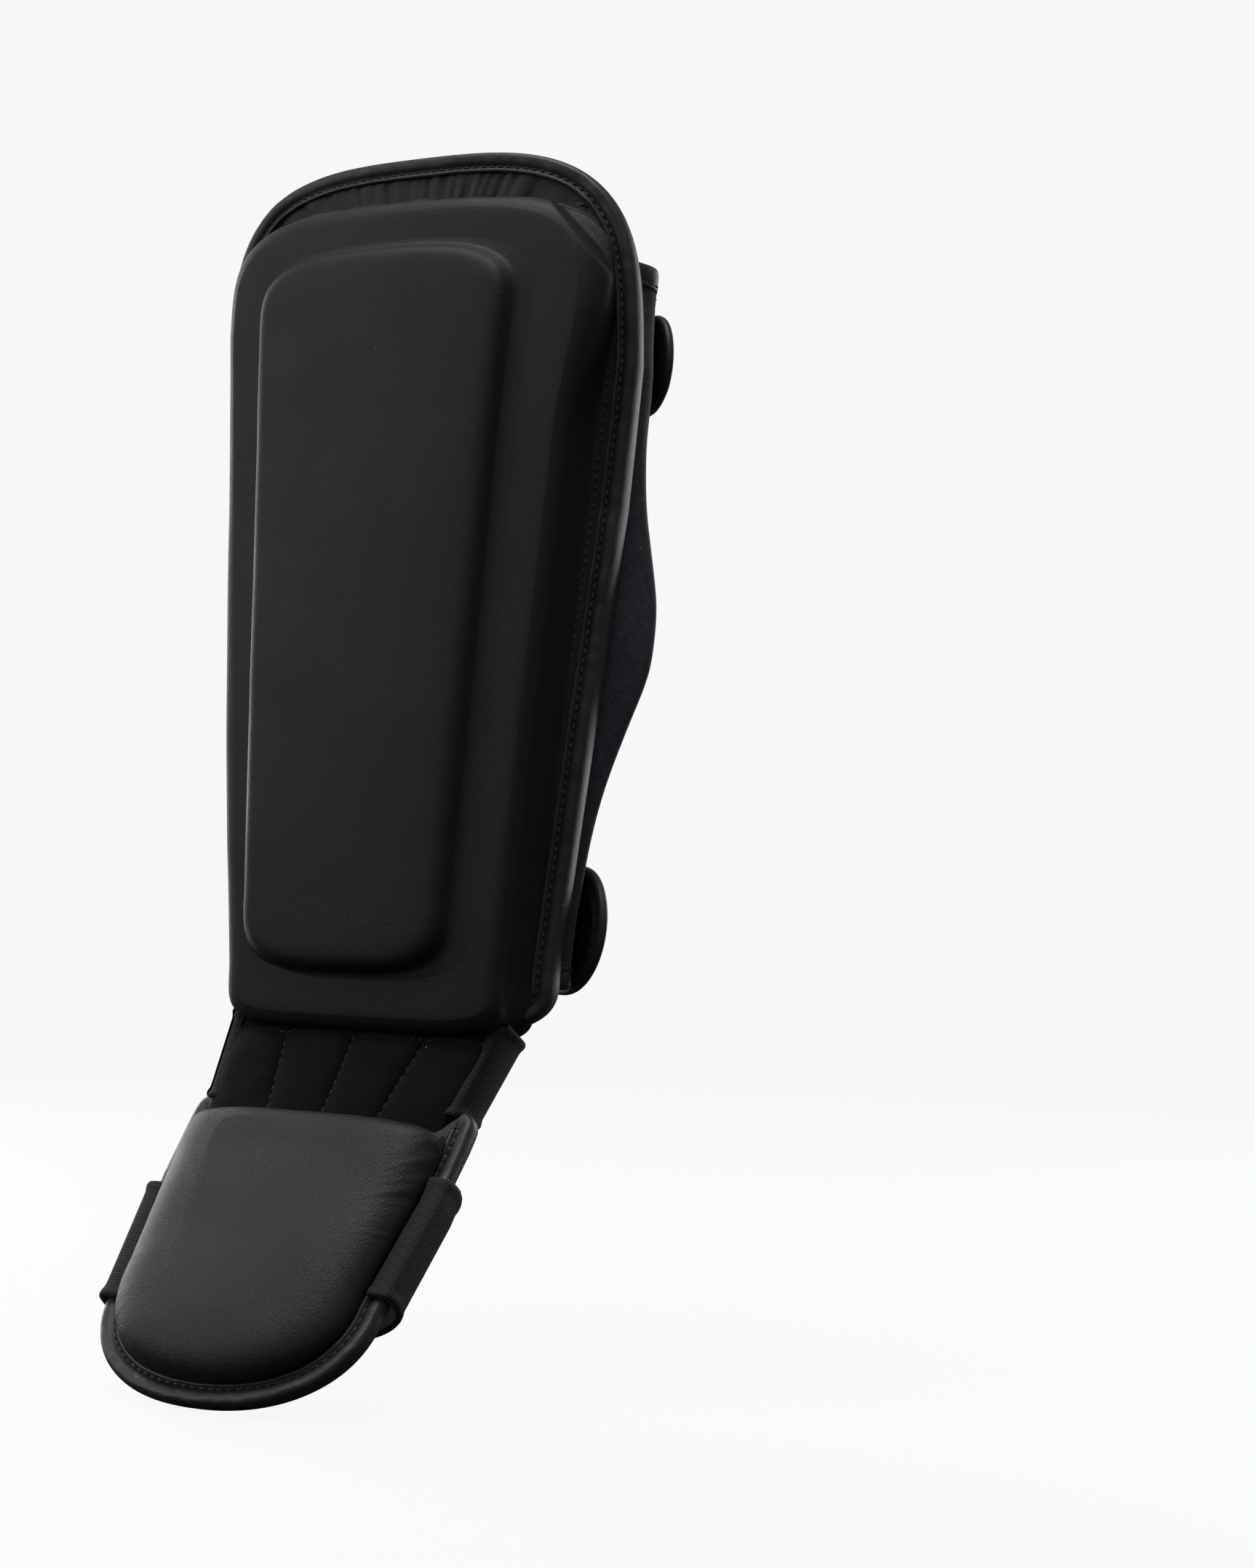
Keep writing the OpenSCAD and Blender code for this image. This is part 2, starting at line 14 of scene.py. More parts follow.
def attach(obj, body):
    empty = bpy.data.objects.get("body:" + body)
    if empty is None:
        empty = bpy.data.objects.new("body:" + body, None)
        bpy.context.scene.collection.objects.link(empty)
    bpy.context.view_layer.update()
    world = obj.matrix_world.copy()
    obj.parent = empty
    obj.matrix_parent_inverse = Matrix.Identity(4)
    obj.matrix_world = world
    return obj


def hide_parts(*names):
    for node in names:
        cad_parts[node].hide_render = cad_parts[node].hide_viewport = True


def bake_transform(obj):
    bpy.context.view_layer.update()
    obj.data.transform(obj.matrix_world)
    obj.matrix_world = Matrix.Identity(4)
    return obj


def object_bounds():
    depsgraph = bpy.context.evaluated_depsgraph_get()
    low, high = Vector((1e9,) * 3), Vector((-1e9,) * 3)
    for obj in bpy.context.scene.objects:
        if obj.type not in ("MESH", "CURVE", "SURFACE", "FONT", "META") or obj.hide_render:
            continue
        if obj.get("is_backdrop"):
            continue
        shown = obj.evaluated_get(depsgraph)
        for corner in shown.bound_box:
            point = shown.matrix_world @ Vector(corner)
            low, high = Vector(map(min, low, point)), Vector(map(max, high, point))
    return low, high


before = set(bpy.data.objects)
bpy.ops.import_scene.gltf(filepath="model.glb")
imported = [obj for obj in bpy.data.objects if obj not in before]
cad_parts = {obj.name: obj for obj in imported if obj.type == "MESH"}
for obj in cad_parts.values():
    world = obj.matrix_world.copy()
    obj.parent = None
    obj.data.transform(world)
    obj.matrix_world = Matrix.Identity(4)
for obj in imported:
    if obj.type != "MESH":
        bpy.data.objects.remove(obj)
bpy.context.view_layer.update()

MM = 0.001
# The pad's height and thickness, the depth of its flange's face, and the flange's half widths.
PAD_H, PAD_T = 340, 28
FLANGE_FRONT = 23.8
FLANGE_TOP_W, FLANGE_FOOT_W = 92, 69.6


# ---- Small functions --------------------------------------------------------------

def unit(t):
    """t held between 0 and 1."""
    return np.clip(t, 0, 1)


def smooth(t):
    """An S curve from 0 to 1: 3 t^2 - 2 t^3."""
    t = unit(t)
    return t * t * (3 - 2 * t)


def lerp(a, b, t):
    """The point a share t of the way from a to b."""
    return a + (b - a) * t


def bump(t, middle, width):
    """A bell curve: exp(-((t - middle) / width)^2)."""
    return np.exp(-((t - middle) / width) ** 2)


def signed_power(c, p):
    """|c|^p with the sign of c."""
    return np.sign(c) * np.abs(c) ** p


def noise(x, y, seed, size):
    """Value noise in -1..1: random heights on a square lattice of that size, joined by S curves."""
    table = np.random.default_rng(seed).uniform(-1, 1, (64, 64))
    x, y = np.broadcast_arrays(np.asarray(x, float) / size, np.asarray(y, float) / size)
    i, j = np.floor(x).astype(int), np.floor(y).astype(int)
    u, v = smooth(x - i), smooth(y - j)
    a, b = table[i % 64, j % 64], table[(i + 1) % 64, j % 64]
    c, d = table[i % 64, (j + 1) % 64], table[(i + 1) % 64, (j + 1) % 64]
    return lerp(lerp(a, b, u), lerp(c, d, u), v)


def along(path):
    """How far each point of a line lies along it."""
    return np.concatenate([[0], np.cumsum(np.linalg.norm(np.diff(path, axis=0), axis=1))])


def sampled(pick, run, rows):
    """The rows at the distances pick, where row i lies at the distance run[i]."""
    return np.stack([np.interp(pick, run, rows[:, k]) for k in range(rows.shape[1])], 1)


def resampled(points, n):
    """n points at equal steps along a line of points."""
    run = along(points)
    return sampled(np.linspace(0, run[-1], n), run, points)


def spline(rows, n):
    """n rows on a Catmull-Rom curve through rows, an array (k, ...), evenly by index."""
    rows = np.asarray(rows, float)
    t = np.linspace(0, len(rows) - 1, n)
    i = np.minimum(t.astype(int), len(rows) - 2)
    u = (t - i).reshape((-1,) + (1,) * (rows.ndim - 1))
    p0, p1 = rows[np.maximum(i - 1, 0)], rows[i]
    p2, p3 = rows[i + 1], rows[np.minimum(i + 2, len(rows) - 1)]
    return 0.5 * (2 * p1 + (p2 - p0) * u + (2 * p0 - 5 * p1 + 4 * p2 - p3) * u ** 2
                  + (3 * p1 - p0 - 3 * p2 + p3) * u ** 3)


def closed_spline(section, fine=3):
    """A closed smooth line through the section's points, with fine points for each."""
    return spline(np.vstack([section, section[:1]]), len(section) * fine + 1)[:-1]


def normals_of(grid):
    """Unit normals of a grid of points, from the cross product of its two tangents."""
    n = np.cross(np.gradient(grid, axis=0), np.gradient(grid, axis=1))
    return n / np.maximum(np.linalg.norm(n, axis=-1, keepdims=True), 1e-9)


def facing(normals, away):
    """The normals, each turned to the side that away points to."""
    return normals * np.sign(np.sum(normals * away, -1, keepdims=True))


# ---- Meshes -----------------------------------------------------------------------

WEAVE_PER_MM = 0.1
MERGE = 1e-6

def quads(rows, cols, wrap=False):
    """Corner numbers of the quads between the points of a rows by cols grid."""
    i, j = np.meshgrid(np.arange(rows - 1), np.arange(cols if wrap else cols - 1), indexing="ij")
    j2 = (j + 1) % cols
    return np.stack([i * cols + j, i * cols + j2, (i + 1) * cols + j2, (i + 1) * cols + j], -1).reshape(-1, 4)


def mesh_object(name, verts, faces, weave=None):
    """A smooth-shaded mesh object from points in mm and faces; weave is each point's place on the cloth."""
    mesh = bpy.data.meshes.new(name)
    mesh.from_pydata((verts * MM).tolist(), [], faces if isinstance(faces, list) else faces.tolist())
    mesh.update()
    if weave is not None:
        corners = np.zeros(len(mesh.loops), np.int32)
        mesh.loops.foreach_get("vertex_index", corners)
        layer = mesh.uv_layers.new(name="weave")
        layer.data.foreach_set("uv", (weave[corners] * WEAVE_PER_MM).astype(np.float32).ravel())
    mesh.polygons.foreach_set("use_smooth", np.ones(len(mesh.polygons), bool))
    obj = bpy.data.objects.new(name, mesh)
    bpy.context.scene.collection.objects.link(obj)
    return obj


def outward_faces(obj):
    """Turns all faces outwards on a closed mesh, after merging doubles."""
    b = bmesh.new()
    b.from_mesh(obj.data)
    bmesh.ops.remove_doubles(b, verts=b.verts, dist=MERGE)
    bmesh.ops.dissolve_degenerate(b, edges=b.edges, dist=MERGE / 10)
    bmesh.ops.recalc_face_normals(b, faces=b.faces)
    b.to_mesh(obj.data)
    b.free()
    return obj


def sheet_between(name, front, back, weave=None):
    """A closed plate between a front and a back grid of points, joined round its rim."""
    r, c = front.shape[:2]
    o = r * c
    verts = np.concatenate([front.reshape(-1, 3), back.reshape(-1, 3)])
    q = quads(r, c)
    rim = np.concatenate([np.arange(c), np.arange(1, r) * c + c - 1,
                          (r - 1) * c + np.arange(c - 2, -1, -1), np.arange(r - 2, 0, -1) * c])
    nxt = np.roll(rim, -1)
    side = np.stack([rim, nxt, nxt + o, rim + o], 1)
    faces = np.concatenate([q[:, ::-1], q + o, side])
    both = None if weave is None else np.concatenate([weave.reshape(-1, 2)] * 2)
    return outward_faces(mesh_object(name, verts, faces, both))


def swept(name, rows, weave=None):
    """A closed profile carried along a path and shut at both ends: rows is (stations, profile points, 3)."""
    n, m = rows.shape[:2]
    faces = quads(n, m, wrap=True).tolist() + [list(range(m))[::-1], list(range((n - 1) * m, n * m))]
    flat = None if weave is None else weave.reshape(-1, 2)
    return outward_faces(mesh_object(name, rows.reshape(-1, 3), faces, flat))


def shell(name, rings, weave=None):
    """A closed skin over a stack of rings (rings, points, 3) whose first and last rings are shut flat."""
    n, m = rings.shape[:2]
    faces = quads(n, m, wrap=True)
    flat = None if weave is None else weave.reshape(-1, 2)
    return outward_faces(mesh_object(name, rings.reshape(-1, 3), faces, flat))


def finished(obj, body, material, replaced=()):
    """Gives a piece its material, hides the CAD parts it replaces, attaches it to its body when the body is a
    name and otherwise bakes its transform into the mesh, and returns it.
    """
    obj.data.materials.append(material)
    if replaced:
        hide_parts(*replaced)
    if isinstance(body, str):
        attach(obj, body)
    else:
        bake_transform(obj)
    return obj


# ---- Materials --------------------------------------------------------------------

def group(name, inputs, outputs):
    """A new shader node group with float inputs {name: value} and outputs {name: socket type}."""
    tree = bpy.data.node_groups.new(name, "ShaderNodeTree")
    for key, value in inputs.items():
        kind = "NodeSocketVector" if value is None else "NodeSocketFloat"
        s = tree.interface.new_socket(key, in_out="INPUT", socket_type=kind)
        if value is not None:
            s.default_value = value
    for key, kind in outputs.items():
        tree.interface.new_socket(key, in_out="OUTPUT", socket_type=kind)
    return tree, Nodes(tree), tree.nodes.new("NodeGroupInput"), tree.nodes.new("NodeGroupOutput")


class Nodes:
    """Short ways to add shader nodes to one tree."""

    def __init__(self, tree):
        self.tree = tree

    def plug(self, target, value):
        """Links an output socket to target, or sets target to a plain value."""
        if isinstance(value, bpy.types.NodeSocket):
            self.tree.links.new(value, target)
        elif value is not None:
            target.default_value = value

    def add(self, kind, out=0, settings=(), **inputs):
        """A node of that kind, its inputs named or numbered i0, i1, ...; returns its output socket out."""
        node = self.tree.nodes.new("ShaderNode" + kind)
        for key, value in dict(settings).items():
            setattr(node, key, value)
        for key, value in inputs.items():
            numbered = key[0] == "i" and key[1:].isdigit()
            self.plug(node.inputs[int(key[1:]) if numbered else key.replace("_", " ")], value)
        return node.outputs[out]

    def math(self, op, a, b=None, c=None):
        """One Math node."""
        return self.add("Math", settings={"operation": op}, i0=a, i1=b, i2=c)

    def ramp(self, value, low, high, to_low=0.0, to_high=1.0):
        """A clamped Map Range from low..high to to_low..to_high."""
        return self.add("MapRange", i0=value, i1=low, i2=high, i3=to_low, i4=to_high)

    def noise(self, at, scale, detail=2.0, rough=0.5):
        """A noise texture's value."""
        return self.add("TexNoise", Vector=at, Scale=scale, Detail=detail, Roughness=rough)

    def mix(self, share, a, b):
        """A colour between a and b."""
        node = self.tree.nodes.new("ShaderNodeMix")
        node.data_type = "RGBA"
        self.plug(node.inputs[0], share)
        self.plug(node.inputs[6], a)
        self.plug(node.inputs[7], b)
        return node.outputs[2]


def grain_group():
    """Leather grain: small cells and fine pores as a height, with slow patches as a mask."""
    tree, n, i, o = group("leather_grain", {"At": None, "Cell": 900.0},
                          {"Height": "NodeSocketFloat", "Patches": "NodeSocketFloat"})
    at, cell = i.outputs[0], i.outputs[1]
    cells = n.add("TexVoronoi", settings={"feature": "DISTANCE_TO_EDGE"}, Vector=at, Scale=cell)
    creases = n.ramp(cells, 0.0, 0.18)
    pores = n.noise(at, 2600.0, 2.0, 0.6)
    n.plug(o.inputs[0], n.math("ADD", n.math("MULTIPLY", creases, 0.7), n.math("MULTIPLY", pores, 0.5)))
    slow = n.noise(at, 26.0, 3.0, 0.55)
    n.plug(o.inputs[1], n.ramp(slow, 0.32, 0.68))
    return tree


def lint_group():
    """Lint and dust: rare tiny flecks, as a mask."""
    tree, n, i, o = group("lint", {"At": None, "Scale": 160.0, "Share": 0.02},
                          {"Mask": "NodeSocketFloat"})
    at, scale, share = i.outputs[0], i.outputs[1], i.outputs[2]
    warped = n.add("VectorMath", settings={"operation": "ADD"}, i0=at,
                   i1=n.add("VectorMath", settings={"operation": "SCALE"},
                            i0=n.add("TexNoise", "Color", Vector=at, Scale=700.0), i3=0.0022))
    node = tree.nodes.new("ShaderNodeTexVoronoi")
    n.plug(node.inputs["Vector"], warped)
    n.plug(node.inputs["Scale"], scale)
    near = n.math("LESS_THAN", node.outputs["Distance"], 0.055)
    rare = n.math("LESS_THAN", n.add("SeparateColor", Color=node.outputs["Color"]), share)
    n.plug(o.inputs[0], n.math("MULTIPLY", near, rare))
    return tree


TURN = 6.2832


def rib_group():
    """Ribbed elastic: ribs across the second weave coordinate, knuckles along the first."""
    tree, n, i, o = group("rib_weave", {"Weave": None, "Rib": 62.0, "Knuckle": 40.0},
                          {"Height": "NodeSocketFloat", "Thread": "NodeSocketFloat"})
    sep = tree.nodes.new("ShaderNodeSeparateXYZ")
    n.plug(sep.inputs[0], i.outputs[0])
    across = n.math("SINE", n.math("MULTIPLY", sep.outputs[1], i.outputs[1]))
    row = n.math("FLOOR", n.math("MULTIPLY", sep.outputs[1], n.math("DIVIDE", i.outputs[1], TURN)))
    shifted = n.math("ADD", n.math("MULTIPLY", sep.outputs[0], i.outputs[2]),
                     n.math("MULTIPLY", row, TURN / 2))
    along = n.math("SINE", shifted)
    rib = n.math("MULTIPLY_ADD", across, 0.5, 0.5)
    knuckle = n.math("MULTIPLY_ADD", along, 0.5, 0.5)
    n.plug(o.inputs[0], n.math("MULTIPLY", rib, n.math("MULTIPLY_ADD", knuckle, 0.45, 0.55)))
    fuzz = n.noise(i.outputs[0], 9.0, 2.0, 0.5)
    n.plug(o.inputs[1], n.ramp(fuzz, 0.3, 0.7))
    return tree


GRAIN, LINT, RIB = grain_group(), lint_group(), rib_group()


class Finish(Nodes):
    """A material with one Principled shader and the groups above to hand."""

    def __init__(self, name, colour, rough, **fixed):
        self.material = bpy.data.materials.new(name)
        self.material.use_nodes = True
        super().__init__(self.material.node_tree)
        self.shader = self.tree.nodes["Principled BSDF"]
        self.shader.inputs["Base Color"].default_value = (*colour, 1)
        self.shader.inputs["Roughness"].default_value = rough
        for key, value in fixed.items():
            self.shader.inputs[key.replace("_", " ")].default_value = value
        self.at = self.add("TexCoord", "Object")
        self.weave = self.add("UVMap", settings={"uv_map": "weave"})

    def use(self, tree, **inputs):
        """A group node, with its outputs."""
        node = self.tree.nodes.new("ShaderNodeGroup")
        node.node_tree = tree
        for key, value in inputs.items():
            self.plug(node.inputs[key], value)
        return node.outputs

    def relief(self, height, distance, strength=1.0, under=None):
        """A Bump node feeding Normal; distance is in metres."""
        bump_node = self.tree.nodes.new("ShaderNodeBump")
        bump_node.inputs["Strength"].default_value = strength
        bump_node.inputs["Distance"].default_value = distance
        self.plug(bump_node.inputs["Height"], height)
        if under is not None:
            self.plug(bump_node.inputs["Normal"], under)
        self.plug(self.shader.inputs["Normal"], bump_node.outputs[0])
        return bump_node.outputs[0]

    def colour(self, value):
        """Feeds Base Color."""
        self.plug(self.shader.inputs["Base Color"], value)

    def roughness(self, value):
        """Feeds Roughness."""
        self.plug(self.shader.inputs["Roughness"], value)


def rgba(r, g, b):
    """A linear colour from 0..255 display values."""
    c = np.array([r, g, b], float) / 255
    return (*np.where(c <= 0.04045, c / 12.92, ((c + 0.055) / 1.055) ** 2.4), 1.0)


FLECK = rgba(150, 152, 155)


def leather(name, dark, light, rough, cell=900.0, relief=0.00006, lint=0.03, coat=0.0):
    """Matte coated leather: patchy tone and gloss, grain relief and a little lint."""
    f = Finish(name, dark[:3], rough, Specular_IOR_Level=0.4, Coat_Weight=coat, Coat_Roughness=0.42)
    grain = f.use(GRAIN, At=f.at, Cell=cell)
    fleck = f.use(LINT, At=f.at, Scale=150.0, Share=lint)[0]
    tone = f.mix(grain[1], dark, light)
    f.colour(f.mix(fleck, tone, FLECK))
    f.roughness(f.math("ADD", f.ramp(grain[1], 0.0, 1.0, rough - 0.05, rough + 0.05),
                       f.math("MULTIPLY", fleck, 0.3)))
    f.relief(grain[0], relief)
    return f.material


def elastic(name, dark, light, rib=62.0, knuckle=40.0, relief=0.00025, rough=0.78):
    """Ribbed elastic webbing: woven relief, coloured dark in the rib valleys as painted shade and light on the
    crowns as painted highlight, a few lint flecks.
    """
    f = Finish(name, dark[:3], rough, Specular_IOR_Level=0.2, Sheen_Weight=0.06, Sheen_Roughness=0.5)
    weave = f.use(RIB, Weave=f.weave, Rib=rib, Knuckle=knuckle)
    fleck = f.use(LINT, At=f.at, Scale=170.0, Share=0.03)[0]
    # Painted shade and highlight: the colour follows the rib height, dark in the valleys and light on the
    # crowns, scaled by a random thread tone.
    tone = f.mix(f.math("MULTIPLY", weave[0], f.ramp(weave[1], 0.0, 1.0, 0.65, 1.0)), dark, light)
    f.colour(f.mix(fleck, tone, FLECK))
    f.relief(weave[0], relief)
    return f.material


def nap_cloth(name, dark, light, scale=1500.0, relief=0.0002, sheen=0.5, lint=0.04):
    """Napped cloth over foam: short fuzz as relief, mottled tone, soft sheen."""
    f = Finish(name, dark[:3], 0.92, Specular_IOR_Level=0.2, Sheen_Weight=sheen, Sheen_Roughness=0.45)
    fuzz = f.noise(f.at, scale, 3.0, 0.65)
    clumps = f.noise(f.at, scale * 0.22, 3.0, 0.6)
    both = f.math("ADD", f.math("MULTIPLY", fuzz, 0.6), f.math("MULTIPLY", clumps, 0.4))
    mottle = f.ramp(both, 0.36, 0.64)
    fleck = f.use(LINT, At=f.at, Scale=190.0, Share=lint)[0]
    f.colour(f.mix(fleck, f.mix(mottle, dark, light), rgba(165, 167, 170)))
    f.relief(f.math("ADD", fuzz, f.math("MULTIPLY", clumps, 0.8)), relief)
    return f.material


def hook_pile():
    """Hook tape: rows of tiny stiff hooks, nearly black, with a painted highlight on their tips."""
    f = Finish("hook_tape", rgba(6, 6, 6)[:3], 0.6, Specular_IOR_Level=0.4)
    node = f.tree.nodes.new("ShaderNodeTexVoronoi")
    f.plug(node.inputs["Vector"], f.at)
    node.inputs["Scale"].default_value = 950.0
    tip = f.ramp(node.outputs["Distance"], 0.5, 0.1)
    # Painted highlight: the hook tips are coloured lighter than the rest of the tape.
    f.colour(f.mix(f.ramp(tip, 0.7, 1.0), rgba(5, 5, 5), rgba(34, 35, 36)))
    f.relief(tip, 0.0006)
    return f.material


def thread(name, colour):
    """Twisted sewing thread: fine slanted strands and a slight gloss."""
    f = Finish(name, colour[:3], 0.55, Specular_IOR_Level=0.5)
    strands = f.noise(f.at, 3200.0, 1.0, 0.5)
    f.colour(f.mix(f.ramp(strands, 0.35, 0.65), colour, rgba(62, 63, 65)))
    f.relief(strands, 0.0001)
    return f.material


PAD_LEATHER = leather("pad_leather", rgba(22, 24, 26), rgba(26, 29, 32), 0.55)
FLAP_LEATHER = leather("flap_leather", rgba(28, 30, 32), rgba(33, 36, 38), 0.5,
                       cell=800.0, relief=0.00008)
BINDING = leather("binding_leather", rgba(42, 43, 45), rgba(53, 54, 56), 0.4,
                  cell=1100.0, relief=0.00005, lint=0.02, coat=0.12)
LINING = nap_cloth("lining_cloth", rgba(20, 21, 23), rgba(29, 30, 33),
                   scale=900.0, relief=0.00012, sheen=0.25)
NEOPRENE = nap_cloth("wing_neoprene", rgba(48, 51, 57), rgba(76, 80, 88),
                     scale=1300.0, relief=0.0003, sheen=0.35)
# Both elastics paint shade into their rib valleys and a highlight onto the rib crowns.
ELASTIC = elastic("band_elastic", rgba(22, 22, 23), rgba(84, 85, 87), rib=76.0, knuckle=46.0)
ANKLE_CLOTH = elastic("ankle_cloth", rgba(2, 2, 2), rgba(30, 31, 32),
                      rib=84.0, knuckle=60.0, relief=0.0002, rough=0.9)
HOOKS = hook_pile()
THREAD = thread("sewing_thread", rgba(17, 17, 18))


# ---- Shin frame ---------------------------------------------------------------------

def shin_at(x, h, depth):
    """A point of the shin pad: the pad bows back by bow (x / 92)^2, more at the lining than at the face."""
    back = lerp(21, 8, unit((h - 200) / 130))
    bow = lerp(8, back, smooth((depth - 8) / 20) * 0.5 + unit((depth - 8) / 20) * 0.5)
    return np.stack(np.broadcast_arrays(
        x, depth - PAD_T + bow * (x / FLANGE_TOP_W) ** 2, h - PAD_H / 2), -1)


class Shape(NamedTuple):
    """An outline: half widths, and where its rounded foot and top begin and end, with their powers."""
    low_w: float
    high_w: float
    low: float
    low_arc: float
    high_arc: float
    high: float
    low_power: float
    high_power: float


FLANGE = Shape(FLANGE_FOOT_W, FLANGE_TOP_W, -2, 22, 256, 340, 3.4, 3.5)
FOAM = Shape(62, 80.5, -1.2, 20, 274, 319, 5.5, 3.9)
RIDGE = Shape(45.5, 56, 20.5, 47, 274, 299.5, 3.3, 3.3)
FLAP = Shape(55.5, 60.5, -111, -69, -4, 8, 2.2, 5)
DOME = Shape(55.5, 61, -111, -69, -10, 1, 2.2, 6)
# Points round each rounded end and along each flank; how far the arcs' feet follow an outline inwards.
ARC_N, SIDE_N = 230, 130
FOLLOW = 0.75
# The middle lines that the pad's and the flap's rings shrink on to.
PAD_MIDDLE, FLAP_MIDDLE = (80, 240), (-62, -48)


def half_ring(w, rise, power, n):
    """Half a superellipse |x/w|^p + |y/rise|^p = 1 from (w, 0) to (-w, 0), at n equal steps."""
    t = np.linspace(0, 1, 4001)
    a = np.pi * (t - np.sin(2 * np.pi * t) / (2 * np.pi))
    p = np.stack([w * signed_power(np.cos(a), 2 / power), rise * np.abs(np.sin(a)) ** (2 / power)], 1)
    return resampled(p, n)


def ring_round(s, d, high_arc, rise):
    """A rounded top of that rise above high_arc, then a flank, foot and flank d mm inside the shape s."""
    low_arc = s.low_arc + FOLLOW * d
    top = half_ring(s.high_w - d, rise, s.high_power, ARC_N) + [0, high_arc]
    foot = -half_ring(s.low_w - d, low_arc - (s.low + d), s.low_power, ARC_N) + [0, low_arc]
    t = (np.arange(1, SIDE_N) / SIDE_N)[:, None]
    left, right = top[-1] + (foot[0] - top[-1]) * t, foot[-1] + (top[0] - foot[-1]) * t
    return np.concatenate([top, left, foot, right])


def outline(s, d):
    """The outline d mm inside the shape s."""
    high_arc = s.high_arc - FOLLOW * d
    return ring_round(s, d, high_arc, s.high - d - high_arc)


def outward(path):
    """Unit vectors pointing out of a line that runs anticlockwise round a shape."""
    d = np.gradient(path, axis=0)
    d = d / np.linalg.norm(d, axis=1, keepdims=True)
    return np.stack([d[:, 1], -d[:, 0]], 1)


def at_depth(ring, z):
    """The ring's points with z as their third number."""
    return np.column_stack([ring, np.full(len(ring), z)])


def to_middle(ring, span, z, steps):
    """Rings at depth z that shrink from a ring on to the stretch span of the line x = 0."""
    ring = ring[:, :2]
    middle = np.stack([ring[:, 0] * 0, np.clip(ring[:, 1], *span)], 1)
    return np.stack([at_depth(lerp(ring, middle, t), z) for t in steps])


def lofted(control, shape, n):
    """n rings through control rings, each given as an outline, how far inside it, and a depth."""
    return spline(np.stack([at_depth(shape(s, d), z) for s, d, z in control]), n)


# ---- Shin pad ---------------------------------------------------------------------

def pad_rings():
    """The pad's face: for each control ring an outline and a depth, from the flange's edge to the ridge."""
    control = [(FLANGE, 1.0, 23.8), (FLANGE, 4.0, 23.75), (FOAM, -3.0, 23.7), (FOAM, -1.4, 23.2),
               (FOAM, -0.7, 20.5), (FOAM, -0.5, 16.0), (FOAM, 0.2, 12.4), (FOAM, 1.8, 9.7),
               (FOAM, 4.2, 8.1), (FOAM, 7.0, 7.4), (RIDGE, -5.0, 7.15), (RIDGE, -2.2, 7.0),
               (RIDGE, -0.4, 6.2), (RIDGE, 0.9, 4.2), (RIDGE, 2.3, 2.1), (RIDGE, 4.6, 0.75),
               (RIDGE, 8.5, 0.2), (RIDGE, 16.0, 0.0), (RIDGE, 30.0, 0.0)]
    return lofted(control, outline, 104)


def pad_wrinkles(x, h, depth):
    """Relief on the pad's face: gathers on the top flange, a scalloped foam edge, soft dents in the foam."""
    flange = smooth((depth - 19.5) / 3.0)
    upper = smooth((h - 285) / 25)
    angle = np.arctan2(h - 230, x)
    gather = noise(angle * 48, h * 0.05, 3, 1.0) + 0.6 * noise(angle * 95, h * 0.04, 4, 1.0)
    soft = 0.55 * noise(x, h, 5, 42) + 0.25 * noise(x, h, 6, 17)
    return flange * upper * corner_calm(x, 0.85) * gather * 0.6, soft * (1 - flange) * 0.45


def ridge_shift(h):
    """How far the ridge sits towards the inside of the leg, less higher up."""
    return lerp(7.0, 3.8, unit((h - 40) / 240))


# The slanted cut across the foam's upper right corner: its direction, and its distance from x = h = 0.
SLANT, SLANT_AT = (0.774, 0.633), 248
COVER_BACK, LINING_TOP = 24.8, 24.9


def corner_calm(x, by):
    """How much of the gathers is left, from 1 down to 1 - by in the upper right corner."""
    return 1 - by * smooth((x - 46) / 14)


def shin_cover():
    """The leather face of the pad over its foam, closed behind by a flat back."""
    rings = pad_rings()
    x, h, depth = (rings[..., i].copy() for i in range(3))
    # The ridge sits towards the inside of the leg. The foam stands further in on the right,
    # and its upper right corner is cut off at a slant.
    x = x - smooth((7.1 - depth) / 0.6) * ridge_shift(h)
    wall = smooth((22.5 - depth) / 3) * smooth((depth - 7) / 1.5)
    x = x - 2.5 * smooth((-x - 30) / 25) * bump(h, 110, 100) * wall
    foam_share = bump(depth, 15.5, 8.5) * (depth < 23.75)
    x = x + foam_share * lerp(-4.0, 5.5, smooth((h - 225) / 60)) * smooth((x - 40) / 30)
    over = np.maximum(0, SLANT[0] * x + SLANT[1] * h - SLANT_AT)
    over = over * smooth((22.8 - depth) / 3) * smooth((depth - 3) / 4)
    x, h = x - SLANT[0] * 0.8 * over, h - SLANT[1] * 0.8 * over
    angle = np.arctan2(h - 230, x)
    # Scallops pull the foam's upper edge in between the gathers.
    edge = bump(depth, 19, 6) * smooth((h - 270) / 30)
    scallop = 2.4 * noise(angle * 8, 0, 8, 1.0) + 0.6 * noise(angle * 24, 0, 9, 1.0)
    scallop = edge * scallop * corner_calm(x, 0.6)
    x, h = x + scallop * np.cos(angle), h + scallop * np.sin(angle)
    gathers, dents = pad_wrinkles(x, h, depth)
    depth = depth - gathers + dents
    front = np.stack([x, h, depth], -1)
    centre = to_middle(rings[-1], PAD_MIDDLE, 0.0, (0.25, 0.5, 0.75, 1.0))
    centre[..., 0] -= ridge_shift(centre[..., 1])
    behind_foam = outline(FOAM, 10.0)
    rings = np.concatenate([np.concatenate([front, centre])[::-1],
                            [at_depth(outline(FLANGE, 1.0), COVER_BACK), at_depth(behind_foam, COVER_BACK)],
                            to_middle(behind_foam, PAD_MIDDLE, COVER_BACK, (0.5, 1.0))])
    points = shin_at(rings[..., 0], rings[..., 1], rings[..., 2])
    finished(shell("shin_cover_leather", points), "shin", PAD_LEATHER,
             ("shin_cover", "shin_foam", "shin_ridge_foam"))


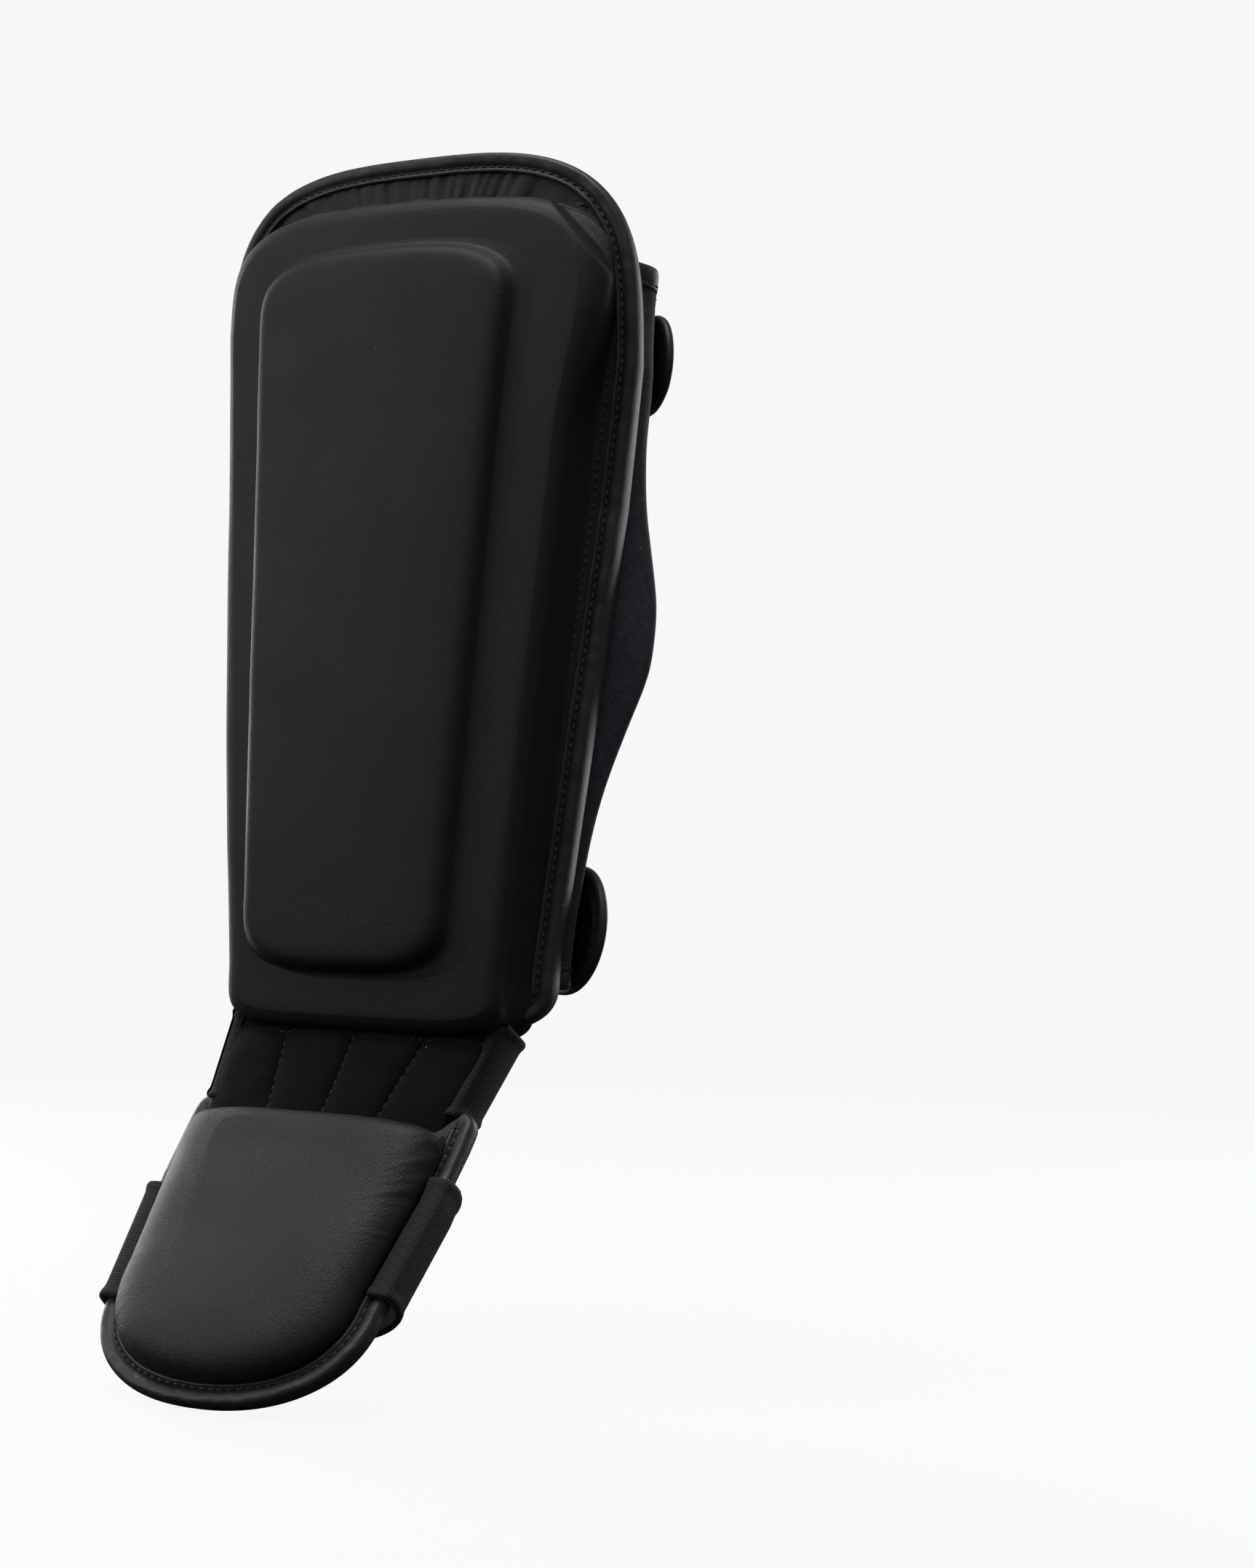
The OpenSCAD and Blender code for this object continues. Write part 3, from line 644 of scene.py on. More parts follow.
def shin_lining():
    """The pad's back: cloth over a thin foam, drawn in where it meets the binding."""
    control = [(FLANGE, 1.0, LINING_TOP), (FLANGE, 1.2, 27.0), (FLANGE, 6.0, 27.6), (FLANGE, 9.0, 28.0),
               (FLANGE, 14.0, 28.2), (FLANGE, 24.0, 28.1), (FLANGE, 40.0, 28.0)]
    rings = lofted(control, outline, 40)
    padded = smooth((rings[..., 2] - 27.4) / 0.6)
    rings[..., 2] += 0.35 * noise(rings[..., 0], rings[..., 1], 11, 30) * padded
    rings = np.concatenate([to_middle(rings[0], PAD_MIDDLE, LINING_TOP, (1.0, 0.5)), rings,
                            to_middle(rings[-1], PAD_MIDDLE, PAD_T, (0.33, 0.67, 1.0))])
    points = shin_at(rings[..., 0], rings[..., 1], rings[..., 2])
    finished(shell("shin_lining_cloth", points, rings[..., :2]), "shin", LINING,
             ("shin_lining",))


# A thread's direction is taken this far to each side of its middle.
STITCH_NEAR = 0.4
# Where the seam's threads lie inside the binding's edge, on the shin and on the flap.
GROOVE = 4.45
# A binding's cross-section: out past the edge, and up from the face it is sewn on.
BINDING_SECTION = np.array([
    (-6.9, -0.4), (-6.7, 0.7), (-6.1, 1.25), (-5.3, 1.1), (-4.8, 0.45), (-4.2, 0.3), (-3.6, 0.65),
    (-2.6, 1.25), (-1.2, 1.55), (0.1, 1.45), (1.0, 0.75), (1.5, -0.5), (1.6, -2.1), (1.35, -3.7),
    (0.6, -4.9), (-0.9, -5.5), (-3.2, -5.45), (-5.2, -5.5), (-6.3, -5.1), (-6.4, -4.3)])


def binding_rows(path, place, seed, puff=0.22):
    """Rows of the binding's section along path (x, h), with small waves; place(x, h, lift) gives the point."""
    section = closed_spline(BINDING_SECTION)
    out = outward(path)
    run = along(path)
    wave = 1 + puff * (noise(run, 0, seed, 9) * 0.6 + noise(run, 0, seed + 1, 3.5) * 0.4)
    p, q = section[:, 0][None], section[:, 1][None]
    q = np.where(q > 0, q * wave[:, None], q)
    weave = np.stack(np.broadcast_arrays(run[:, None], p), -1)
    return place(path[:, :1] + out[:, :1] * p, path[:, 1:] + out[:, 1:] * p, q), weave


def stitches(name, points, normals, length=2.6, gap=1.0, radius=0.38):
    """Short rounded threads laid end to end along a line of points, each on the surface's normal."""
    run = along(points)
    n = max(int(run[-1] // (length + gap)), 1)
    s = (np.arange(n) + 0.5) * run[-1] / n
    t = sampled(s + STITCH_NEAR, run, points) - sampled(s - STITCH_NEAR, run, points)
    t /= np.maximum(np.linalg.norm(t, axis=1, keepdims=True), 1e-9)
    side = np.cross(sampled(s, run, normals), t)
    side /= np.maximum(np.linalg.norm(side, axis=1, keepdims=True), 1e-9)
    up = np.cross(t, side)
    # Five rings of five points: where each lies along the thread, how fat it is and how far it stands up.
    u = np.array([-0.5, -0.36, 0, 0.36, 0.5])
    fat = np.array([0.35, 0.9, 1.0, 0.9, 0.35])
    sink = np.array([-0.9, -0.1, 0.15, -0.1, -0.9])
    m = len(u)
    a = np.arange(m) / m * 2 * np.pi
    ring = (t[:, None, None] * (u * length)[None, :, None, None]
            + side[:, None, None] * (radius * fat[:, None] * np.cos(a)[None])[None, ..., None]
            + up[:, None, None] * (radius * (fat[:, None] * np.sin(a)[None] + sink[:, None]))[None, ..., None])
    verts = (sampled(s, run, points)[:, None, None] + ring).reshape(-1, 3)
    first = np.arange(n) * m * m
    faces = (quads(m, m, wrap=True)[None] + first[:, None, None]).reshape(-1, 4).tolist()
    for k in first.tolist():
        faces.append([k + j for j in range(m)][::-1])
        faces.append([k + m * (m - 1) + j for j in range(m)])
    return outward_faces(mesh_object(name, verts, faces))


def cut_run(path, start, keep):
    """The stretch of a closed outline, from index start, whose points pass the test keep."""
    path = np.roll(path, -start, 0)
    return path[keep(path)]


def flange_place(x, h, lift):
    """The point lift above the flange's face."""
    return shin_at(x, h, FLANGE_FRONT - lift)


def shin_binding():
    """The flange's binding, up one flank, over the top and down the other, with its stitches."""
    start = ARC_N + SIDE_N + ARC_N // 2
    path = resampled(cut_run(outline(FLANGE, 1.0), start, lambda p: p[:, 1] > 5), 560)
    rows, weave = binding_rows(path, flange_place, 21)
    finished(swept("shin_binding_leather", rows, weave), "shin", BINDING,
             ("shin_binding",))
    out = outward(path)
    groove = path - out * GROOVE
    line = flange_place(groove[:, 0], groove[:, 1], 0.45)
    inside = groove - out
    up = normals_of(np.stack([line, flange_place(inside[:, 0], inside[:, 1], 0.45)]))[0]
    up *= np.sign(-up[:, 1:2])
    finished(stitches("shin_binding_thread", line, up), "shin", THREAD)
    flank = path - out * 9.2
    keep = (flank[:, 0] > 30) & (flank[:, 1] < 300)
    flank = flank[keep]
    line = flange_place(flank[:, 0], flank[:, 1], 0.15)
    finished(stitches("wing_seam_thread", line, up[keep]), "shin", THREAD)


# ---- Calf line ----------------------------------------------------------------------

CALF_Y = 40 - PAD_T
# The wing's lower and upper edge, and the angles of the calf line where it begins and ends.
WING_LOW, WING_HIGH, WING_START, WING_END = 17, 300, 12, 128
# Its grid: control spans, fine columns in each, and rows. The neoprene and its hem end at these columns.
WING_SPANS, SPAN_COLS, WING_ROWS = 20, 16, 150
WING_COLS, HEM_FIRST, HEM_LAST = 311, 12, 311
WING_T, WING_CUT_HEIGHT = 3.5, 0.286


def flange_side(h):
    """Half width of the flange at height h."""
    return lerp(FLANGE_FOOT_W, FLANGE_TOP_W, unit((h - 8) / 248))


def calf_at(a, h, off):
    """A point off outside the calf: an ellipse of half width w and depth f w, a degrees from the flank."""
    w = flange_side(h) - 1.5 + 14 * bump(h, 152, 48)
    f = lerp(0.6, 0.85, smooth((h - 40) / 130))
    c, s = np.cos(np.radians(a)), np.sin(np.radians(a))
    n = np.stack(np.broadcast_arrays(f * c, s + 0 * h), -1)
    n = n / np.linalg.norm(n, axis=-1, keepdims=True)
    return np.stack(np.broadcast_arrays(w * c + n[..., 0] * off, CALF_Y + f * w * s + n[..., 1] * off,
                                        h - PAD_H / 2 + 0 * a), -1)


def wing_top(t):
    """Height of the wing's upper edge, which falls towards its free end."""
    return WING_HIGH - 12 * t


def from_calf(points):
    """Level vectors from the calf's middle to the points."""
    return (points - [0, CALF_Y, 0]) * [1, 1, 0]


def wing_grid():
    """A smooth grid on the wing: two control columns behind the flange, the rest round the calf."""
    t, v = np.meshgrid(np.arange(WING_SPANS + 1) / WING_SPANS, np.linspace(0, 1, WING_ROWS), indexing="ij")
    h = lerp(WING_LOW + 1, wing_top(t) - 1, v)
    k = t * WING_SPANS
    behind = shin_at(flange_side(h) - 22 + 8 * k, h, PAD_T + 1.8)
    round_calf = calf_at(lerp(WING_START, WING_END, (k - 2) / (WING_SPANS - 2)), h, 0.0)
    return spline(np.where((k < 1.5)[..., None], behind, round_calf), WING_SPANS * SPAN_COLS + 1)


def wing_waves(grid):
    """Gentle waves in a grid of the wing, out along its normals."""
    s = np.arange(grid.shape[0])[:, None] * 1.2
    z = grid[..., 2]
    w = 0.8 * noise(s, z, 31, 38) + 0.35 * noise(s, z, 32, 16)
    away = smooth(s / 40)
    n = normals_of(grid)
    return grid + n * (w * away)[..., None]


# The wing's hem: in from the edge, and up from the wing's outer face.
HEM_SECTION = np.array([
    (8.0, -0.2), (8.0, 0.55), (7.2, 0.8), (6.2, 0.5), (5.2, 0.75), (3.0, 0.95), (1.0, 0.9), (-0.4, 0.4),
    (-1.1, -0.8), (-1.2, -2.0), (-0.7, -3.6), (0.6, -4.4), (3.0, -4.5), (7.0, -4.3), (8.0, -4.0), (8.0, -3.2)])


def hem_line(grid, deep):
    """The grid's values along the wing's three free edges, deep columns or rows inside them."""
    return np.concatenate([grid[HEM_FIRST:HEM_LAST + 1, deep], grid[HEM_LAST - deep, 1:-1],
                           grid[HEM_LAST:HEM_FIRST - 1:-1, -1 - deep]])


def calf_wing():
    """The neoprene wing: one curved sheet, with rounded leather hems on its three free edges."""
    out = wing_waves(wing_grid())
    n = facing(normals_of(out), from_calf(out))
    run = np.arange(len(out))[:, None] * 1.0
    weave = np.stack(np.broadcast_arrays(run, out[..., 2]), -1)
    wing = sheet_between("calf_wing_neoprene", out[:WING_COLS], (out - n * WING_T)[:WING_COLS],
                         weave[:WING_COLS])
    finished(wing, "shin", NEOPRENE, ("calf_wing",))
    arc = float(along(out[:WING_COLS, 70])[-1])
    edge, normal = hem_line(out, 0), hem_line(n, 0)
    inward = hem_line(out, 8) - edge
    run = along(edge)
    pick = np.linspace(0, run[-1], 620)
    edge, normal, inward = (sampled(pick, run, a) for a in (edge, normal, inward))
    for a in (normal, inward):
        a /= np.linalg.norm(a, axis=1, keepdims=True)
    section = closed_spline(HEM_SECTION)
    wave = 1 + 0.25 * noise(pick, 0, 33, 7)[:, None, None]
    p, q = section[None, :, :1], section[None, :, 1:]
    rows = edge[:, None] + inward[:, None] * p + normal[:, None] * q * np.where(q > 0, wave, 1)
    weave = np.stack(np.broadcast_arrays(pick[:, None], section[None, :, 0]), -1)
    finished(swept("wing_hem_leather", rows, weave), "shin", BINDING,
             ("wing_top_hem", "wing_bottom_hem", "wing_end_hem"))
    line = edge + inward * 6.2 + normal * 0.62
    finished(stitches("wing_hem_thread", line, normal), "shin", THREAD)


# ---- Straps -------------------------------------------------------------------------

# Angles of the calf line: where the webbing starts, where the tab does, and where it leaves the calf.
STRAP_START, TAB_START, TAB_LEAVE = 166, 84, 40
# Length of the tab's straight end, and how far the straps lie off the calf line.
TAB_STRAIGHT, STRAP_OFF = 6, 2.1
# Height of the sewn end and of the tab's end, width, and the hinge's x and y in metres.
STRAPS = {"upper": (235, 268, 40, (-0.0894, 0.0312)), "lower": (42, 40, 50, (-0.0720, 0.0235))}
# A tab's binding: across the strap from its edge, and up from the tab's face.
TAB_BINDING_SECTION = np.array([
    (-6.2, 0.3), (-6.0, 0.9), (-5.2, 1.2), (-4.4, 0.8), (-3.2, 1.3), (-1.5, 1.5), (-0.3, 1.2), (0.2, 0.2),
    (0.2, -0.8), (-0.3, -1.8), (-1.6, -2.2), (-3.4, -2.1), (-4.4, -1.7), (-5.2, -2.0), (-6.0, -1.6),
    (-6.2, -0.6)])


def strap_mid(base, tip, a):
    """Height of a strap's middle at angle a."""
    return lerp(tip, base, unit((a - TAB_LEAVE) / (STRAP_START - TAB_LEAVE)))


def tab_point(base, tip, s, v, off):
    """The tab's surface: s from 0 to 1 round the calf, above 1 straight on in lengths of the straight end."""
    a = lerp(TAB_START, TAB_LEAVE, np.minimum(s, 1))
    on = calf_at(a, strap_mid(base, tip, a) + v, off)
    p = calf_at(TAB_LEAVE + 0 * s, tip + v, off)
    q = calf_at(TAB_LEAVE + 1 + 0 * s, tip + v, off)
    d = (p - q) / np.linalg.norm(p - q, axis=-1, keepdims=True)
    return np.where((s > 1)[..., None], p + d * ((s - 1) * TAB_STRAIGHT)[..., None], on)


def tab_grid(half):
    """A grid on a round-ended leaf: s along it, v across it, and the last s of each line."""
    across = -np.cos(np.linspace(0, np.pi, 61))[:, None]
    reach = 2 + np.sqrt(np.maximum(0, 1 - across ** 2)) * half / TAB_STRAIGHT
    k = np.linspace(0, 2, 61)[None]
    s = np.where(k < 1, k, lerp(1, reach, k - 1))
    return s, across * half + 0 * s, reach


def strap_webbing(which):
    """A strap's ribbed elastic, from behind the flange round the calf to under the tab."""
    base, tip, width, pivot = STRAPS[which]
    v = np.linspace(-0.5, 0.5, 41)
    h = base + width * v
    behind = np.stack([shin_at(-flange_side(h) + 22 - 6 * i, h, PAD_T + 3.6) for i in range(4)])
    angle, vv = np.meshgrid(np.linspace(STRAP_START + 2, TAB_START - 3, 18), v, indexing="ij")
    around = calf_at(angle, strap_mid(base, tip, angle) + width * vv, STRAP_OFF + 0.9)
    line = spline(np.concatenate([behind, around]), 260)
    n = facing(normals_of(line), from_calf(line))
    hem = (0.9 + 0.35 * bump(np.abs(v), 0.485, 0.02))[None, :, None]
    weave = np.stack(np.broadcast_arrays(along(line[:, 20])[:, None], width * v[None]), -1)
    piece = sheet_between(which + "_strap_webbing", line + n * hem, line - n * hem, weave)
    y0, y1 = pivot[1] - 0.009, pivot[1] + 0.011
    finished(piece, ("shin", which + "_strap", (pivot[0], y0, 0), (pivot[0], y1, 0)), ELASTIC,
             (which + "_strap_elastic", which + "_strap_anchor"))


def strap_tab(which):
    """A strap's padded leather leaf with a rounded end, and the hook tape inside it."""
    base, tip, width, _ = STRAPS[which]
    body = which + "_strap"
    half = width / 2 - 4.2
    s, v, reach = tab_grid(half)
    full = np.minimum(1, (1 - np.abs(v) / half) * 5) * np.minimum(1, s * 6 + 0.2)
    full = np.minimum(full, np.minimum(1, (reach - s) * TAB_STRAIGHT / 5))
    puff = np.sqrt(np.maximum(full, 0)) * 1.1
    leaf = sheet_between(which + "_strap_tab_leather", tab_point(base, tip, s, v, STRAP_OFF + 1.5 + puff),
                         tab_point(base, tip, s, v, STRAP_OFF + 0.2 + 0 * s))
    finished(leaf, body, FLAP_LEATHER, (which + "_strap_tab",))
    s, v, _ = tab_grid(half - 2)
    tape = sheet_between(which + "_strap_hook_tape", tab_point(base, tip, s, v, STRAP_OFF + 0.1 + 0 * s),
                         tab_point(base, tip, s, v, STRAP_OFF - 1.0 + 0 * s))
    finished(tape, body, HOOKS, (which + "_strap_hook",))


def tab_binding(which):
    """The leather binding round a tab, with a line of threads on its outer and inner side."""
    base, tip, width, _ = STRAPS[which]
    body = which + "_strap"
    turn = np.linspace(0, 1, 90)
    s = np.concatenate([np.linspace(0, 1, 40)[:-1], 2 + np.sin(np.pi * turn), np.linspace(1, 0, 40)[1:]])
    v = np.concatenate([np.full(39, -1), -np.cos(np.pi * turn), np.full(39, 1)])

    def place(half, off):
        """The points of a line or of rows round the tab, half wide and off its face."""
        across = s if np.ndim(half) == 0 else s[:, None]
        on = np.where(across <= 1, across, 2 + (across - 2) * half / TAB_STRAIGHT)
        wide = v * half if np.ndim(half) == 0 else v[:, None] * half
        return tab_point(base, tip, on, wide, STRAP_OFF + 1.0 + off + 0 * on)

    section = closed_spline(TAB_BINDING_SECTION)
    rows = place(width / 2 + section[None, :, 0], section[None, :, 1])
    finished(swept(which + "_strap_binding_leather", rows), body, BINDING,
             (which + "_strap_binding",))
    for side, level in (("outer", 0.85), ("inner", -1.75)):
        line = place(width / 2 - 4.4, level)
        away = place(width / 2 - 4.4, level * 2) - line
        away /= np.linalg.norm(away, axis=1, keepdims=True)
        finished(stitches(f"{which}_strap_{side}_thread", line, away, length=2.3, gap=0.9),
                 body, THREAD)


def strap(which):
    """One closing strap: ribbed elastic, and a bound leather tab with hook tape inside."""
    strap_webbing(which)
    strap_tab(which)
    tab_binding(which)


# ---- Ankle --------------------------------------------------------------------------

ANKLE_SLOPE = np.radians(68)
ANKLE_L = 38
# How far the ankle panel and the flap stand towards the inside of the leg.
LEAN = 7.0
ANKLE_BLEND = ("shin", "ankle", (0, -0.0115, -0.1722), (0, -0.0195, -0.1915))


def ankle_at(x, q, lift):
    """A point of the ankle panel: q down it from the fold line, lift towards the front."""
    n = lift - 4 * (x / 60) ** 2
    return np.stack(np.broadcast_arrays(
        x - LEAN * (q / ANKLE_L + 1), 9 - PAD_T - q * np.cos(ANKLE_SLOPE) - n * np.sin(ANKLE_SLOPE),
        -20 - PAD_H / 2 - q * np.sin(ANKLE_SLOPE) + n * np.cos(ANKLE_SLOPE)), -1)


def ankle_half(q):
    """Half width of the quilted face."""
    return lerp(57, 51, q / ANKLE_L + 0.5)


def seam_x(k, g):
    """x of seam k (-2..2) at share g down the panel: the seams fan in and curve."""
    inner = np.sign(k) * lerp(31, 23.5, g + 0.22 * g * (1 - g))
    edge = np.sign(k) * ankle_half(ANKLE_L * (g - 0.5))
    return np.where(np.abs(k) > 1, edge, np.where(np.abs(k) > 0, inner, 0.6 * np.sin(np.pi * g)))


def ankle_surface(rows=90, cols=60):
    """The quilted face: between two seams the cloth rises as (1 - |k|^3.4)^0.7, less at the top and bottom."""
    g = np.linspace(-0.3, 1.08, rows)[:, None]
    strips = []
    for c in range(4):
        k = np.linspace(-1, 1, cols)[None]
        left, right = seam_x(c - 2, unit(g)), seam_x(c - 1, unit(g))
        x = lerp(left, right, (k + 1) / 2)
        pull = noise(g * 38, c, 41 + c, 4.0) * 0.6 * np.abs(k) ** 3 * (1 - np.abs(k)) * 4
        full = np.maximum(0, 1 - np.abs(2 * unit(g) - 1) ** 3.2) ** 0.5
        lift = 3.0 * np.maximum(0, 1 - np.abs(k) ** 3.4) ** 0.7 * full
        lift = lift + pull + 0.25 * noise(x, g * 38, 47, 9)
        strips.append(np.stack([x, g * ANKLE_L - ANKLE_L / 2 + 0 * x, lift], -1)[:, (0 if c == 0 else 1):])
    return np.concatenate(strips, 1)


def ankle():
    """The ankle panel: quilted stretch cloth in front, plain lining behind, threads in the seams."""
    grid = ankle_surface()
    front = ankle_at(grid[..., 0], grid[..., 1], grid[..., 2] + 0.8)
    back = ankle_at(grid[..., 0], grid[..., 1], 0 * grid[..., 2] - 1.2)
    weave = grid[..., :2]
    face = sheet_between("ankle_face_cloth", front, back, weave)
    finished(face, ANKLE_BLEND, ANKLE_CLOTH, ("ankle_face", "ankle_foam"))
    x = np.linspace(-1, 1, 61)[None]
    q = np.linspace(-27, 20, 31)[:, None]
    w = ankle_half(q) * x
    inner = sheet_between("ankle_lining_cloth", ankle_at(w, q, -1.4 + 0 * w), ankle_at(w, q, -3.6 + 0 * w),
                          np.stack(np.broadcast_arrays(w, q + 0 * w), -1))
    finished(inner, ANKLE_BLEND, LINING, ("ankle_backing",))
    g = np.linspace(0.02, 0.98, 60)
    for k, name in ((-1, "left"), (0, "middle"), (1, "right")):
        x = seam_x(np.full(60, k), g)
        line = ankle_at(x, g * ANKLE_L - ANKLE_L / 2, 0.95 + 0 * x)
        up = ankle_at(x, g * ANKLE_L - ANKLE_L / 2, 1.95 + 0 * x) - line
        finished(stitches(f"ankle_{name}_seam_thread", line, up), ANKLE_BLEND, THREAD)
    x = np.linspace(-56, 56, 80)
    line = ankle_at(x, -17.4 + 0 * x, 1.55 + 0 * x)
    up = ankle_at(x, -17.4 + 0 * x, 2.55 + 0 * x) - line
    finished(stitches("ankle_top_thread", line, up), "shin", THREAD)


def ankle_band():
    """The ankle's elastic band: from one side of the panel, round the heel and back to the other side."""
    a = np.linspace(-12, 192, 41)
    rad = np.radians(a)[:, None]
    q = lerp(-25.5, 10, np.linspace(0, 1, 41)[None])
    w = ankle_half(q) + 2.9
    bow = 4 * (w * np.cos(rad) / 60) ** 2
    down = q * lerp(1, 0.9, np.sin(rad)) - 12 * np.abs(np.sin(rad)) ** 1.7
    loop = ankle_at(w * np.cos(rad), down, bow - 10.0 - 36.9 * np.sin(rad))
    ends = [ankle_at(side * (ankle_half(p) + d), p, lift + 0 * p)
            for side, d, lift, p in ((1, -3.2, 1.1, q[0]), (1, 0.6, 0.8, q[0]), (1, 2.6, -2.4, q[0]),
                                     (-1, 2.6, -2.4, q[0]), (-1, 0.6, 0.8, q[0]), (-1, -3.2, 1.1, q[0]))]
    control = np.concatenate([np.stack(ends[:3]), loop, np.stack(ends[3:])])
    line = spline(control, 460)
    n = facing(normals_of(line), line - line.mean((0, 1)))
    v = np.linspace(0, 1, 41)
    hem = 0.85 + 0.75 * (bump(v, 0.03, 0.045) + bump(v, 0.97, 0.045))
    run = along(line[:, 20])
    front_edge = 1 - 0.55 * bump(np.minimum(run, run[-1] - run), 0, 1.2)[:, None]
    t = (hem[None] * front_edge)[..., None]
    weave = np.stack(np.broadcast_arrays(run[:, None], v[None] * 35), -1)
    piece = sheet_between("ankle_band_elastic", line + n * t, line - n * t * 0.8, weave)
    finished(piece, ANKLE_BLEND, ELASTIC, ("ankle_band",))


# ---- Instep flap ----------------------------------------------------------------------

INSTEP_SLOPE = np.radians(52)


def instep_at(x, h, lift):
    """A point of the instep flap: h is minus the distance from its top edge, lift off the foot.
    The thin edge's upper corners reach up under the ankle band."""
    h = h + 11 * smooth((np.abs(x) - 46) / 10) * smooth((h + 16) / 18) * (lift < -1)
    n = lift - 4 * (x / 60) ** 2
    return np.stack(np.broadcast_arrays(
        x - LEAN + 0.03 * h, -7 - PAD_T + h * np.cos(INSTEP_SLOPE) - n * np.sin(INSTEP_SLOPE),
        -37.7 - PAD_H / 2 + h * np.sin(INSTEP_SLOPE) + n * np.cos(INSTEP_SLOPE)), -1)


def instep_outline(s, d):
    """The flap's outline d mm inside the shape s, with a steeper step along its top edge."""
    return ring_round(s, d, s.high_arc - 0.35 * d, s.high - s.high_arc)


def instep_cover():
    """The flap's leather face: a pillow that stands up steeply inside the binding."""
    control = [(FLAP, 1.0, -4.3), (FLAP, 4.0, -4.3), (DOME, 6.6, -4.2), (DOME, 6.9, -3.2), (DOME, 6.7, -1.4),
               (DOME, 6.9, 0.8), (DOME, 8.0, 3.4), (DOME, 10.4, 5.9), (DOME, 14.2, 7.9), (DOME, 19.5, 9.2),
               (DOME, 28.0, 10.0)]
    rings = lofted(control, instep_outline, 66)
    x, h, z = (rings[..., i].copy() for i in range(3))
    # The upper edge of the padding stands up and leans over the ankle panel.
    top = smooth((h + 30) / 22) * smooth((z + 3) / 6)
    h = h + top * 6.0
    z = z + top * 0.8
    inner = np.stack([x, h, z], -1)
    centre = to_middle(inner[-1], FLAP_MIDDLE, 10.0, (0.15, 0.3, 0.45, 0.6, 0.75, 0.9, 1.0))
    front = np.concatenate([inner, centre])
    x, h, z = front[..., 0], front[..., 1], front[..., 2]
    angle = np.arctan2(h + 55, x)
    edge = bump(z, 2.0, 4.5)
    pucker = edge * (0.8 * noise(angle * 20, 0, 51, 1.0) + 0.5 * noise(angle * 44, z * 0.1, 52, 1.0))
    pucker *= 0.15 + 0.75 * smooth((x + h + 5) / 40)
    z = z + pucker + 0.5 * noise(x, h, 53, 26) * smooth(z / 6)
    back_ring = at_depth(instep_outline(FLAP, 1.0), -5.2)
    rings = np.concatenate([np.stack([x, h, z], -1)[::-1], [back_ring],
                            to_middle(back_ring, FLAP_MIDDLE, -5.2, (0.5, 1.0))])
    points = instep_at(rings[..., 0], rings[..., 1], rings[..., 2])
    finished(shell("instep_cover_leather", points), "instep", FLAP_LEATHER,
             ("instep_cover", "instep_foam"))


def instep_lining():
    """The flap's underside: cloth over thin foam."""
    control = [(FLAP, 1.0, -5.3), (FLAP, 1.2, -7.2), (FLAP, 5.0, -7.7), (FLAP, 8.0, -8.0), (FLAP, 14.0, -8.2),
               (FLAP, 26.0, -8.1)]
    rings = lofted(control, instep_outline, 34)
    rings = np.concatenate([to_middle(rings[0], FLAP_MIDDLE, -5.3, (1.0, 0.5)), rings,
                            to_middle(rings[-1], FLAP_MIDDLE, -8.0, (0.33, 0.67, 1.0))])
    points = instep_at(rings[..., 0], rings[..., 1], rings[..., 2])
    finished(shell("instep_lining_cloth", points, rings[..., :2]), "instep", LINING,
             ("instep_lining",))


def instep_place(x, h, lift):
    """The point lift above the flap's flat edge."""
    return instep_at(x, h, lift - 4.3)


def instep_binding():
    """The flap's binding, from one side of the ankle round the toes to the other side."""
    path = resampled(cut_run(outline(FLAP, 1.0), 40, lambda p: p[:, 1] < 5), 460)
    rows, weave = binding_rows(path, instep_place, 61, puff=0.3)
    finished(swept("instep_binding_leather", rows, weave), "instep", BINDING,
             ("instep_binding",))
    out = outward(path)
    groove = path - out * GROOVE
    line = instep_place(groove[:, 0], groove[:, 1], 0.5)
    up = instep_place(groove[:, 0], groove[:, 1], 1.5) - line
    finished(stitches("instep_binding_thread", line, up), "instep", THREAD)


def foot_band():
    """The foot's elastic band: over the flap's edges at both sides and under the sole."""
    rad = np.radians(np.linspace(0, 180, 41))[:, None]
    h = np.linspace(-20, -69, 45)[None] + 6 * np.cos(rad)
    w = lerp(60.5, 55.5, unit((-h - 24) / 45)) + 1.9
    bow = 4 * (w * np.cos(rad) / 60) ** 2
    loop = instep_at(w * np.cos(rad), h, bow - 12.0 - 26.9 * np.sin(rad))
    side_rows = [(-8.0, -1.9), (-4.0, -1.3), (-1.2, -1.6), (0.0, -3.6), (0.4, -7.5)]
    ends = [instep_at(w[0] + d, h[0], lift + 0 * h[0]) for d, lift in side_rows]
    mirror = [instep_at(-(w[-1] + d), h[-1], lift + 0 * h[-1]) for d, lift in side_rows[::-1]]
    line = spline(np.concatenate([np.stack(ends), loop, np.stack(mirror)]), 480)
    n = facing(normals_of(line), line - line.mean((0, 1)))
    v = np.linspace(0, 1, 45)
    hem = 0.85 + 0.6 * (bump(v, 0.03, 0.035) + bump(v, 0.97, 0.035))
    run = along(line[:, 22])
    t = hem[None, :, None] * np.ones((len(run), 1, 1))
    weave = np.stack(np.broadcast_arrays(run[:, None], v[None] * 48), -1)
    piece = sheet_between("foot_band_elastic", line + n * t, line - n * t * 0.8, weave)
    finished(piece, "instep", ELASTIC, ("foot_band",))


shin_cover()
shin_lining()
shin_binding()
calf_wing()
strap("upper")
strap("lower")
ankle()
ankle_band()
instep_cover()
instep_lining()
instep_binding()
foot_band()


# ---- Floor, light and camera ----------------------------------------------------------

# Brightness of the floor and the background, which only the camera sees, and of the fill light.
FLOOR_GLOW, BACKDROP, FILL = 0.905, 0.93, 0.21
FLOOR_HALF = 40.0


